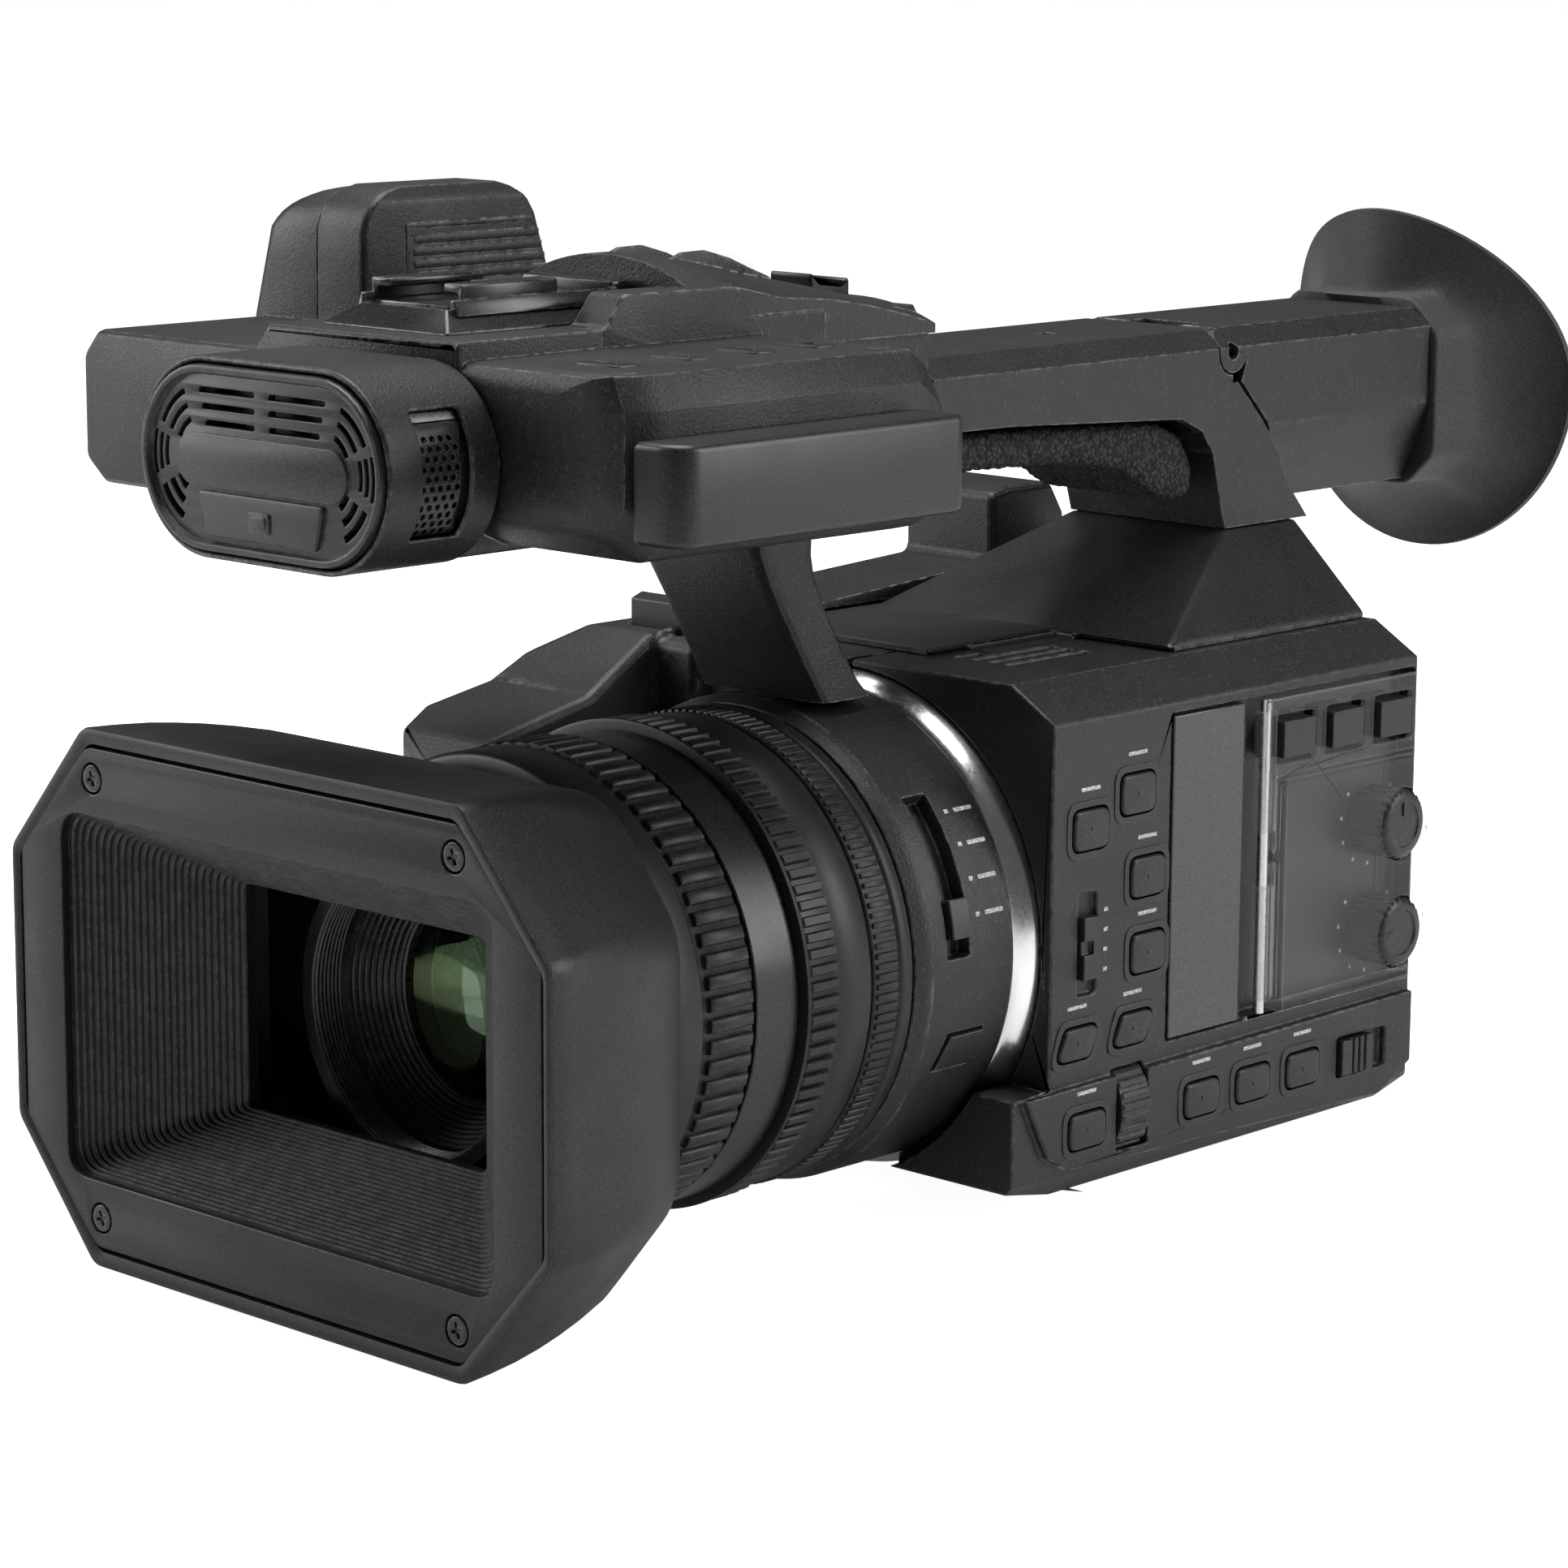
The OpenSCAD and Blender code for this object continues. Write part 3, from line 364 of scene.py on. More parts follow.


# Each moulded material: its colour, roughness, grain in mm, bump, fleck and edge wear with painted highlight,
# then what sets it apart.
MOULDED = {
    "hood_plastic": ((0.0075, 0.0075, 0.0078), 0.46, 0.28, 0.1, 0.25, 0.3, {"specular": 0.3}),
    "face_plastic": ((0.006, 0.006, 0.0063), 0.42, 0.3, 0.1, 0.2, 0.4, {"specular": 0.3}),
    "black_steel": ((0.008, 0.008, 0.008), 0.26, 0.3, 0.05, 0.2, 0.55, {"wear_and_highlight_colour": (0.4, 0.4, 0.4)}),
    "satin_black": ((0.008, 0.008, 0.008), 0.3, 0.3, 0.06, 0.2, 0.4, {}),
    "ring_rubber": ((0.006, 0.006, 0.0061), 0.44, 0.25, 0.2, 0.3, 0.25, {"specular": 0.3}),
    "casing": ((0.0085, 0.0085, 0.0088), 0.44, 0.5, 0.6, 1.0, 0.9,
               {"wear_and_highlight_colour": (0.3, 0.3, 0.3), "specular": 0.32, "edge_mm": 0.5}),
    "button_plastic": ((0.007, 0.007, 0.0073), 0.38, 0.3, 0.12, 0.3, 0.4, {}),
    "board": ((0.01, 0.07, 0.03), 0.35, 0.5, 0.1, 0.3, 0.0, {}),
    "smooth_cover": ((0.011, 0.011, 0.0113), 0.36, 0.25, 0.05, 0.15, 0.3, {}),
    "gloss_panel": ((0.012, 0.012, 0.0125), 0.16, 0.3, 0.02, 0.1, 0.2, {"coat": 0.4}),
    "grille": ((0.012, 0.012, 0.012), 0.38, 0.3, 0.12, 0.3, 0.5, {}),
    "soft_rubber": ((0.011, 0.011, 0.0113), 0.6, 0.3, 0.15, 0.3, 0.1, {"sheen": 0.1}),
    "red_button": ((0.28, 0.012, 0.012), 0.3, 0.4, 0.05, 0.2, 0.1, {}),
    "mark_paint": ((0.34, 0.34, 0.34), 0.5, 0.3, 0.02, 0.1, 0.0, {}),
    "battery_plastic": ((0.012, 0.012, 0.0125), 0.5, 0.35, 0.3, 0.5, 0.3, {}),
}


def make_materials():
    made = {name: moulded(name, *row[:-1], **row[-1]) for name, row in MOULDED.items()}
    made["bright_metal"] = metal("bright_metal", (0.78, 0.78, 0.8), 0.2)
    made["steel"] = metal("steel", (0.6, 0.6, 0.62), 0.3)
    made["coated_glass"] = coated_glass("coated_glass")
    made["clear_plastic"] = clear("clear_plastic", (0.32, 0.33, 0.34))
    made["foam"] = foam("foam")
    made["strap"] = woven("strap", (0.02, 0.02, 0.02))
    return made


# ---- mesh tools


def dress(mesh, node, sharp=35):
    """Turns a mesh into the piece that stands for a CAD node."""
    piece = bpy.data.objects.new(node + "_detail", mesh)
    bpy.context.scene.collection.objects.link(piece)
    slot = SLOT_OF[node]
    mesh.materials.clear()
    mesh.materials.append(MATERIALS[slot])
    for face in mesh.polygons:
        face.use_smooth = True
    mesh.set_sharp_from_angle(angle=math.radians(sharp))
    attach(piece, BODY_OF[node])
    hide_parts(node)
    return piece


def merged(node):
    """A copy of a CAD node's mesh with its doubled points joined and flat pairs of triangles made quads."""
    bm = bmesh.new()
    bm.from_mesh(frame["nodes"][node].data)
    bmesh.ops.remove_doubles(bm, verts=bm.verts, dist=2e-6)
    flat, skewed = math.radians(0.5), math.radians(40)
    bmesh.ops.join_triangles(bm, faces=bm.faces, angle_face_threshold=flat, angle_shape_threshold=skewed)
    mesh = bpy.data.meshes.new(node)
    bm.to_mesh(mesh)
    bm.free()
    return mesh


def round_edges(piece, width_mm, clamp):
    """Rounds the edges that turn by more than the least angle."""
    least_angle = 32
    bevel = piece.modifiers.new("edges", "BEVEL")
    bevel.width = width_mm * MM
    bevel.segments = 3
    bevel.limit_method = "ANGLE"
    bevel.angle_limit = math.radians(least_angle)
    bevel.use_clamp_overlap = clamp
    bevel.harden_normals = False
    bevel.miter_outer = "MITER_ARC"
    normals = piece.modifiers.new("normals", "WEIGHTED_NORMAL")
    normals.keep_sharp = True


def refined(node, width_mm, clamp):
    """Shows a CAD node with its edges rounded as a moulding's are."""
    round_edges(dress(merged(node), node), width_mm, clamp)


def circle(radius, count, u=0.0, v=0.0):
    """A round outline about the point (u, v)."""
    turns = [2 * math.pi * i / count for i in range(count)]
    return [Vector((u + radius * math.cos(a), v + radius * math.sin(a))) for a in turns]


def rectangle(left, right, low, high):
    return [(left, low), (right, low), (right, high), (left, high)]


def rounded(corners, radius, steps=5):
    """A closed outline with its corners rounded. The radius is one number or one for each corner."""
    count = len(corners)
    radii = [radius] * count if isinstance(radius, (int, float)) else radius
    points = []
    for i in range(count):
        corner, before, after = (Vector(corners[j % count]) for j in (i, i - 1, i + 1))
        back, on = before - corner, after - corner
        reach = radii[i] / max(0.2, math.tan(back.angle(on) / 2))
        reach = min(reach, back.length * 0.48, on.length * 0.48)
        start, end = corner + back.normalized() * reach, corner + on.normalized() * reach
        for k in range(steps + 1):
            t = k / steps
            points.append(start * (1 - t) ** 2 + corner * 2 * t * (1 - t) + end * t * t)
    return points


def shrunk(points, distance):
    """An outline moved inwards by a distance."""
    count = len(points)
    ahead = points[1:] + points[:1]
    area = sum(p.x * q.y - q.x * p.y for p, q in zip(points, ahead))
    side = 1 if area > 0 else -1
    moved = []
    for i in range(count):
        along = points[(i + 1) % count] - points[i - 1]
        if along.length < 1e-9:
            moved.append(points[i].copy())
            continue
        along.normalize()
        moved.append(points[i] + Vector((-along.y, along.x)) * side * distance)
    return moved


# How a flat outline's point and a depth along an axis give a place.
SPREAD = {
    "x": lambda d, p: at(d, p[0], p[1]),
    "y": lambda d, p: at(p[0], d, p[1]),
    "z": lambda d, p: at(p[0], p[1], d),
}


def ring_of(axis, place, outline):
    """An outline laid across an axis at a place."""
    return [SPREAD[axis](place, p) for p in outline]


def facing_front(u, v, depth):
    """Lays a plate's outline across the lens axis."""
    return at(u, depth, v)


def facing_side(u, v, depth):
    """Lays a plate's outline on the control side's wall."""
    return at(depth, u, v)


class Shape:
    """Mesh being built up from lofts, plates and boxes."""

    def __init__(self):
        self.bm = bmesh.new()

    def loft(self, rings, closed=False, caps=True):
        """Rings of as many points each, joined one to the next; closed joins the last to the first."""
        loops = [[self.bm.verts.new(p) for p in ring] for ring in rings]
        pairs = list(zip(loops, loops[1:])) + ([(loops[-1], loops[0])] if closed else [])
        for a, b in pairs:
            for i in range(len(a)):
                j = (i + 1) % len(a)
                self.bm.faces.new((a[i], a[j], b[j], b[i]))
        if caps and not closed:
            self.bm.faces.new(loops[0][::-1])
            self.bm.faces.new(loops[-1])
        return self

    def solid(self, axis, outline, low, high, edge=0.5, steps=3):
        """An outline pushed along an axis from low to high, with both rims rounded."""
        front, back = [], []
        for k in range(steps + 1):
            turn = math.pi / 2 * k / steps
            inside = shrunk(outline, edge * (1 - math.sin(turn)))
            reach = edge * (1 - math.cos(turn))
            front.append(ring_of(axis, low + reach, inside))
            back.append(ring_of(axis, high - reach, inside))
        return self.loft(front + back[::-1])

    def block(self, low, high, edge=0.3, round_xy=0.5):
        """A box with rounded edges and corners."""
        outline = rounded(rectangle(low[0], high[0], low[1], high[1]), round_xy, 3)
        return self.solid("z", outline, low[2], high[2], edge, 2)

    def revolve(self, profile, closed=True, count=160):
        """A profile of (radius, station) turned about the lens axis."""
        rings = [ring_of("y", y, circle(radius, count)) for radius, y in profile]
        return self.loft(rings, closed=closed, caps=not closed)

    def surface(self, xs, ys, height, floor):
        """A raised surface over a grid: height gives z at (x, y), and floor is its flat underside's level."""
        top = [[self.bm.verts.new(at(x, y, height(x, y))) for x in xs] for y in ys]
        low = [[self.bm.verts.new(at(x, y, floor)) for x in xs] for y in ys]
        rows, cols = len(ys), len(xs)
        for grid, flip in ((top, False), (low, True)):
            for r in range(rows - 1):
                for c in range(cols - 1):
                    quad = [grid[r][c], grid[r][c + 1], grid[r + 1][c + 1], grid[r + 1][c]]
                    self.bm.faces.new(quad[::-1] if flip else quad)
        rim = [(0, c) for c in range(cols)] + [(r, cols - 1) for r in range(1, rows)]
        rim += [(rows - 1, c) for c in range(cols - 2, -1, -1)] + [(r, 0) for r in range(rows - 2, 0, -1)]
        for (r, c), (s, d) in zip(rim, rim[1:] + rim[:1]):
            self.bm.faces.new((top[r][c], low[r][c], low[s][d], top[s][d]))
        return self

    def plate(self, outlines, low, high, edge, place):
        """A plate with holes: outlines are (u, v) loops, place(u, v, depth) gives the point."""
        curve = bpy.data.curves.new("plate", "CURVE")
        curve.dimensions, curve.fill_mode = "2D", "BOTH"
        curve.extrude, curve.bevel_depth, curve.offset = (high - low) / 2 - edge, edge, -edge
        curve.bevel_resolution = 2
        for outline in outlines:
            spline = curve.splines.new("POLY")
            spline.points.add(len(outline) - 1)
            for point, (u, v) in zip(spline.points, outline):
                point.co = (u, v, 0, 1)
            spline.use_cyclic_u = True
        holder = bpy.data.objects.new("plate", curve)
        bpy.context.scene.collection.objects.link(holder)
        mesh = bpy.data.meshes.new_from_object(holder.evaluated_get(bpy.context.evaluated_depsgraph_get()))
        bpy.data.objects.remove(holder)
        middle = (low + high) / 2
        for vertex in mesh.vertices:
            u, v, depth = vertex.co
            vertex.co = place(u, v, middle + depth)
        self.bm.from_mesh(mesh)
        bpy.data.meshes.remove(mesh)
        return self

    def join(self, other):
        """Adds another shape to this one, and uses it up."""
        mesh = other.mesh("joined")
        self.bm.from_mesh(mesh)
        bpy.data.meshes.remove(mesh)
        return self

    def mesh(self, name):
        """The finished mesh, with the faces turned outwards."""
        bmesh.ops.remove_doubles(self.bm, verts=self.bm.verts, dist=1e-6)
        bmesh.ops.recalc_face_normals(self.bm, faces=self.bm.faces)
        mesh = bpy.data.meshes.new(name)
        self.bm.to_mesh(mesh)
        self.bm.free()
        return mesh


def by_angle(outline, count):
    """The points where rays at even angles from the middle meet an outline."""
    points = []
    for i in range(count):
        a = 2 * math.pi * i / count
        ray, best = Vector((math.cos(a), math.sin(a))), None
        for p, q in zip(outline, outline[1:] + outline[:1]):
            side = q - p
            cross = ray.x * side.y - ray.y * side.x
            if abs(cross) < 1e-12:
                continue
            reach = (p.x * side.y - p.y * side.x) / cross
            along = (p.x * ray.y - p.y * ray.x) / cross
            if reach > 0 and -1e-6 <= along <= 1 + 1e-6 and (best is None or reach > best):
                best = reach
        points.append(ray * best)
    return points


def spaced(low, high, step):
    """Even places from low to high, about a step apart."""
    count = max(2, round((high - low) / step) + 1)
    return [low + (high - low) * i / (count - 1) for i in range(count)]


def octagon(half_w, half_h, cut_w, cut_h):
    """A rectangle with its corners cut off."""
    w, h = half_w - cut_w, half_h - cut_h
    return [(half_w, h), (w, half_h), (-w, half_h), (-half_w, h), (-half_w, -h), (-w, -half_h), (w, -half_h),
            (half_w, -h)]


# ---- hood and lens


# Where the hood's four screws sit, and how the ribbed baffle narrows behind the window.
HOOD_SCREWS = [(x, z) for x in (-44.2, 44.2) for z in (-37.7, 37.7)]
BAFFLE_RIBS, BAFFLE_FRONT, BAFFLE_BACK = 25, 2.2, 21.0
WINDOW, THROAT = (52.9, 31.4), (29.6, 19.6)


def hood_ring(y, half_w, half_h, radius):
    """The hood's outline at a station: a rectangle with long cut corners."""
    corners = octagon(half_w, half_h, half_w * 0.3, half_h * 0.49)
    return ring_of("y", y, rounded(corners, radius, 7))


def round_ring(y, radius, like):
    """A circle whose points follow the directions of another ring's points."""
    centre = at(0, 0, 0)
    angles = [math.atan2(p.z - centre.z, p.x - centre.x) for p in like]
    return [at(radius * math.cos(a), y, radius * math.sin(a)) for a in angles]


def hood_shell():
    """The hood: octagonal in front, drawn in to the round filter ring behind, and hollow."""
    outer = [(0.0, 65.3, 45.6, 4), (0.25, 65.8, 46.1, 4), (0.9, 66, 46.3, 4), (6, 65.4, 46.2, 5),
             (12, 64.5, 45.9, 6), (17, 63.6, 45.4, 7), (22, 62.5, 44.8, 9), (27, 61.2, 44.0, 11),
             (32, 59.6, 43.0, 13), (36, 57.4, 41.9, 14), (39.5, 54.4, 40.9, 15), (42.3, 50.8, 39.9, 15),
             (44, 47.6, 39.1, 15)]
    rings = [hood_ring(*row) for row in outer]
    rings.append(round_ring(44.4, 39.4, rings[-1]))
    rings.append(round_ring(44.2, 38.3, rings[-1]))
    rings.append(round_ring(42.0, 38.2, rings[-1]))
    inner = [(41.6, 48.5, 36.8, 12), (33, 57, 40.4, 10), (17, 61, 42.6, 5), (3.1, 62.6, 42.4, 4),
             (3.0, 63.9, 43.3, 3.4), (0.5, 64.1, 43.6, 3.4), (0.1, 64.6, 44.6, 3.6)]
    rings += [hood_ring(*row) for row in inner]
    return Shape().loft(rings, closed=True)


def window_ring(y, half_w, half_h, radius):
    corners = [(half_w, half_h), (-half_w, half_h), (-half_w, -half_h), (half_w, -half_h)]
    return ring_of("y", y, rounded(corners, radius, 5))


def hood_face():
    """The hood's front frame, with screw holes and the ribbed baffle that leads in to the lens."""
    shape = Shape()
    corners = [(52.8, 31.3), (-52.8, 31.3), (-52.8, -31.3), (52.8, -31.3)]
    outlines = [rounded(octagon(63.6, 42.9, 18.1, 18.5), 3.2), rounded(corners, 5)]
    outlines += [circle(2.7, 28, x, z) for x, z in HOOD_SCREWS]
    shape.plate(outlines, 0.45, 3.0, 0.3, facing_front)
    rings = []
    for k in range(BAFFLE_RIBS):
        for step, proud in ((0.0, 0.0), (0.12, 0.5), (0.5, 0.5), (0.62, 0.0)):
            t = (k + step) / BAFFLE_RIBS
            y = BAFFLE_FRONT + (BAFFLE_BACK - BAFFLE_FRONT) * t
            half_w, half_h = (a + (b - a) * t for a, b in zip(WINDOW, THROAT))
            rings.append(window_ring(y, half_w - proud, half_h - proud, 5 - 3.4 * t))
    rings.append(window_ring(BAFFLE_BACK, *THROAT, 1.6))
    rings.append(window_ring(23, *THROAT, 1.6))
    rings.append(window_ring(23, 41.8, 30.8, 2))
    rings.append(window_ring(BAFFLE_BACK + 0.2, 41.8, 30.8, 2))
    rings.append(window_ring(BAFFLE_BACK - 0.3, 32.2, 22.2, 2))
    rings.append(window_ring(2.6, 54.4, 32.9, 5))
    shape.loft(rings, closed=True)
    for x, z in HOOD_SCREWS:
        shape.solid("y", circle(2.9, 28, x, z), 2.2, 2.9, 0.1)
    return shape


def hood_screws():
    """Four countersunk screws with cross recesses."""
    shape = Shape()
    for x, z in HOOD_SCREWS:
        cross = []
        for k in range(4):
            a = math.pi / 2 * k + 0.35
            for reach, side in ((0.32, -0.32), (1.35, -0.28), (1.35, 0.28)):
                u = reach * math.cos(a) - side * math.sin(a)
                v = reach * math.sin(a) + side * math.cos(a)
                cross.append((x + u, z + v))
        head = circle(2.3, 32, x, z)
        shape.plate([head, cross], 0.5, 1.5, 0.2, facing_front)
        shape.solid("y", head, 1.1, 1.7, 0.05, 1)
        shape.solid("y", circle(1, 32, x, z), 1.6, 8.8, 0.1, 1)
    return shape


def filter_ring():
    """The lens's front cell: a stepped cone in to the glass, and a filter thread in front of it."""
    profile = [(24.5, 31.2), (24.8, 31), (27.2, 31), (27.5, 31.3), (27.5, 38.6), (28, 39), (34.6, 39),
               (34.9, 39.4), (34.9, 40.6), (35.9, 41), (35.9, 53), (22.3, 53), (22.3, 47.2), (17.6, 47.2),
               (17.6, 45.6)]
    cone_steps, thread_turns, pitch = 9, 7, 0.85
    for k in range(cone_steps):
        t = k / cone_steps
        radius, y = 18.0 + 6.1 * t, 45.4 - 7.4 * t
        profile += [(radius, y), (radius, y - 0.45), (radius + 0.45, y - 0.55)]
    for k in range(thread_turns):
        y = 37.2 - pitch * k
        profile += [(24.5, y), (24.2, y - 0.2), (24.2, y - 0.4), (24.5, y - 0.6)]
    return Shape().revolve(profile)


def front_lens():
    """The glass: a domed front element and two more behind it."""
    shape = Shape()
    steps, least = 12, 0.02
    for radius, front, sag, thick in ((17.4, 43.7, 3.6, 4.6), (16.2, 55, 2.4, 4), (10.5, 66, -2.2, 3)):
        back = front + abs(sag) * 0.3 + thick
        curve = [k / steps for k in range(steps + 1)]
        profile = [(max(radius * t, least), front + sag * t ** 2) for t in curve]
        profile += [(max(radius * t, least), back - 0.5 * sag * t ** 2) for t in curve[::-1]]
        shape.revolve(profile, closed=True, count=96)
    return shape


def lens_tube():
    """The tube that the rings turn on, with the black cells that hold the inner glass."""
    shape = Shape()
    scale = [(37.9, 70.9), (41, 70.9), (41.2, 71.1), (41.2, 80.5), (41, 80.7), (37.9, 80.7)]
    shape.revolve([(36, 41)] + [(37.9, 41)] + scale + [(37.9, 134), (36, 134)])
    for y, radius in ((55.2, 16.4), (66.2, 10.6), (84, 7)):
        shape.revolve([(35.9, y), (radius + 4, y), (radius + 0.4, y + 2.4), (radius, y + 3), (radius, y + 6),
                       (35.9, y + 6)])
    shape.revolve([(35.8, 100), (0.05, 100), (0.05, 101), (35.8, 101)], count=64)
    return shape


def ribbed_ring(profile, count, r_low, r_high, y_low, y_high, width):
    """A turned ring with a row of rounded ribs along its outside."""
    shape = Shape().revolve(profile)
    tall, sunk = r_high - r_low, 0.35
    ends = ((y_low, 0.0), (y_low + 0.12, tall * 0.75), (y_low + 0.45, tall), (y_high - 0.45, tall),
            (y_high - 0.12, tall * 0.75), (y_high, 0.0))
    section = ((-0.5, 0), (-0.46, 0.7), (-0.34, 1), (0.34, 1), (0.46, 0.7), (0.5, 0), (0.4, -1), (-0.4, -1))
    for i in range(count):
        a = 2 * math.pi * i / count
        out, side = Vector((math.cos(a), 0, math.sin(a))), Vector((-math.sin(a), 0, math.cos(a)))
        rings = []
        for y, lift in ends:
            ring = []
            for u, v in section:
                reach = r_low + (lift * v if v > 0 else sunk * v)
                p = out * reach + side * (u * width)
                ring.append(at(p.x, y, p.z))
            rings.append(ring)
        shape.loft(rings)
    return shape


def focus_ring():
    """The wide front ring, with long ribs and a plain collar."""
    profile = [(38.05, 48), (40.6, 48), (41.2, 48.4), (41.5, 49.2), (41.5, 57.6), (41.2, 58.2), (40.9, 58.6),
               (40.9, 69.8), (40.6, 70.4), (38.05, 70.4)]
    return ribbed_ring(profile, 72, 40.9, 41.85, 59.6, 69.7, 2.5)


def zoom_ring():
    """The middle ring, with finer ribs in a recess."""
    profile = [(38.05, 81.2), (42.3, 81.2), (42.9, 81.4), (43, 81.9), (42.6, 82.5), (41.8, 82.7), (41.8, 90),
               (42.0, 90.4), (42.0, 97.6), (41.6, 98.3), (38.05, 98.3)]
    return ribbed_ring(profile, 96, 41.7, 42.85, 82.4, 89.4, 1.85)


def iris_ring():
    """The narrow rear ring, with the finest ribs."""
    profile = [(38.05, 98.7), (41.6, 98.7), (41.9, 99), (41.9, 104.8), (42.3, 105.2), (42.4, 105.6),
               (42.4, 107.7), (42.1, 108.1), (38.05, 108.1)]
    return ribbed_ring(profile, 150, 41.8, 42.4, 99.3, 104.6, 1.05)


def trim_ring():
    """The bright ring where the lens meets the body."""
    profile = [(38.1, 132.8), (42.9, 132.8), (43.4, 133), (44.3, 134.4), (45.1, 136.2), (45.42, 137.6),
               (45.5, 139), (45.5, 149.6), (45.2, 150), (42, 150), (42, 136), (38.1, 136)]
    return Shape().revolve(profile, count=256)


# ---- microphone


# The level of the microphone's middle, and how far from it the round ends of its body begin.
MIC_Z, MIC_STRAIGHT = 93.8, 14


def stadium(half_w, half_h, lift=0.0):
    """An outline round the microphone's middle, with straight top and bottom and round ends."""
    points, straight, centre_z, steps = [], half_w - half_h, MIC_Z + lift, 18
    for side, start in ((1, -90), (-1, 90)):
        for k in range(steps + 1):
            a = math.radians(start + 180 * k / steps)
            points.append(Vector((side * straight + half_h * math.cos(a), centre_z + half_h * math.sin(a))))
    return points


def stadium_ring(half_w, half_h, y):
    return ring_of("y", y, stadium(half_w, half_h))


def bow(side, radius, half_width, start, end):
    """A curved slot round one end of the microphone, mirrored for the other end."""
    steps = 12
    if side < 0:
        start, end = 180 - start, 180 - end
    turns = [math.radians(start + (end - start) * k / steps) for k in range(steps + 1)]
    centre, outer, inner = side * 14.2, radius + half_width, radius - half_width
    edge = [(centre + outer * math.cos(a), MIC_Z + outer * math.sin(a)) for a in turns]
    return edge + [(centre + inner * math.cos(a), MIC_Z + inner * math.sin(a)) for a in turns[::-1]]


def microphone_grille():
    """The microphone's front: a slotted face with a band across it, a lower apron, a rim and side screens."""
    shape = Shape()
    slots = []
    for side in (-1, 1):
        for k in range(3):
            near, far = side * 1.7, side * (15.2 - 0.7 * k)
            z = MIC_Z + 10.3 - 2.6 * k
            slots.append(rounded(rectangle(near, far, z, z + 0.95), 0.45, 3))
            slots.append(bow(side, 11.2 - 2.3 * k, 0.45, 66 - 2 * k, 26))
            slots.append(bow(side, 12.2 - 1.5 * k, 0.4, 17, -17 + 2 * k))
            slots.append(bow(side, 11.2 - 2.3 * k, 0.6, -27, -62 + 6 * k))
    shape.plate([stadium(27.6, 13.4)] + slots, 1.0, 2.6, 0.15, facing_front)
    rim = [(28.9, 14.9, 0.7), (28.7, 14.7, 0.15), (28.2, 14.2, 0.0), (27.7, 13.7, 0.15), (27.3, 13.3, 0.9),
           (27.2, 13.1, 1.2), (27.3, 13.2, 2.7), (29.0, 15.0, 2.9)]
    shape.loft([stadium_ring(*row) for row in rim], closed=True)
    shape.solid("y", stadium(20.6, 4.3, -0.4), 0.55, 1.4, 0.25)
    apron = [(-13.4, MIC_Z - 12.4), (13.4, MIC_Z - 12.4), (15.2, MIC_Z - 5.2), (-15.2, MIC_Z - 5.2)]
    shape.solid("y", rounded(apron, 0.8, 4), 0.35, 1.4, 0.4)
    lamp_z = MIC_Z - 9.2
    for half_w, half_h, front in ((2.5, 1.7, 0.05), (1.8, 1.1, -0.1)):
        window = rectangle(-half_w, half_w, lamp_z - half_h, lamp_z + half_h)
        shape.solid("y", rounded(window, 0.6, 4), front, 0.8, 0.12)
    sleeve = ((28.0, 14.0, 6.2), (27.2, 13.2, 6), (27.2, 13.2, 20), (28.0, 14.0, 20))
    shape.loft([stadium_ring(*row) for row in sleeve], closed=True)
    shape.solid("y", stadium(27.8, 13.8), 5.0, 6.4, 0.1, 1)
    return shape.join(side_screen())


def side_screen():
    """Hexagon-holed metal sheet bent round the microphone's ends."""
    shape = Shape()
    radius, pitch, hole = 14.55, 1.75, 0.62
    row_pitch = pitch * 0.866
    corners = [math.radians(30 + 60 * k) for k in range(6)]
    for side in (-1, 1):
        outlines = [rectangle(7.2, 18.6, -11, 8.2)]
        for r in range(int(17.5 / row_pitch)):
            v = -9.6 + r * row_pitch
            for c in range(6):
                u = 8.3 + c * pitch + (pitch / 2 if r % 2 else 0)
                if u < 17.0:
                    outlines.append([(u + hole * math.cos(a), v + hole * math.sin(a)) for a in corners])

        def bend(u, v, depth):
            a = v / radius
            reach = radius + depth
            return at(side * (MIC_STRAIGHT + reach * math.cos(a)), u, MIC_Z + reach * math.sin(a))

        shape.plate(outlines, 0.0, 0.35, 0.05, bend)
    return shape


def screen_bands():
    """Two bright bands above the holes of the microphone's side screens."""
    shape = Shape()
    section = ((7.2, 14.6), (7.3, 14.95), (18.5, 14.95), (18.6, 14.6))
    for side in (-1, 1):
        for low, high in ((0.58, 0.79), (0.81, 1.04)):
            rings = []
            for k in range(7):
                a = low + (high - low) * k / 6
                across, up = side * math.cos(a), math.sin(a)
                rings.append([at(side * MIC_STRAIGHT + r * across, y, MIC_Z + r * up) for y, r in section])
            shape.loft(rings)
    return shape


# ---- screen, deck and hump


# Levels of the deck and of the screen case's top, and where the shoe and the case's keys sit.
DECK_TOP, CASE_TOP = 112.8, 109.8
SHOE_X = -4.1
LCD_BUTTON_Y = (39, 55, 70, 84)


def lcd_slab():
    """The stowed screen: a slab with a thicker rounded end to pull it out by."""
    shape = Shape()
    face = rounded([(57.6, 25.5), (68, 25.5), (68, 91), (57.6, 91)], [1.2, 8, 2.4, 1], 7)
    shape.solid("z", face, 84.5, 100.5, 1.3, 4)
    return shape.block((-26, 30, 86.2), (58, 89, 97.8), 0.8, 1.5)


def case_section(y, right, low, high):
    """The screen case's outline at a station."""
    left = 18
    corners = [(left, low), (right - 5, low), (right, low + 5), (right, high - 5.3), (right - 2.5, high),
               (left, high)]
    return ring_of("y", y, rounded(corners, [0.5, 4, 4, 0.6, 0.5, 0.5], 4))


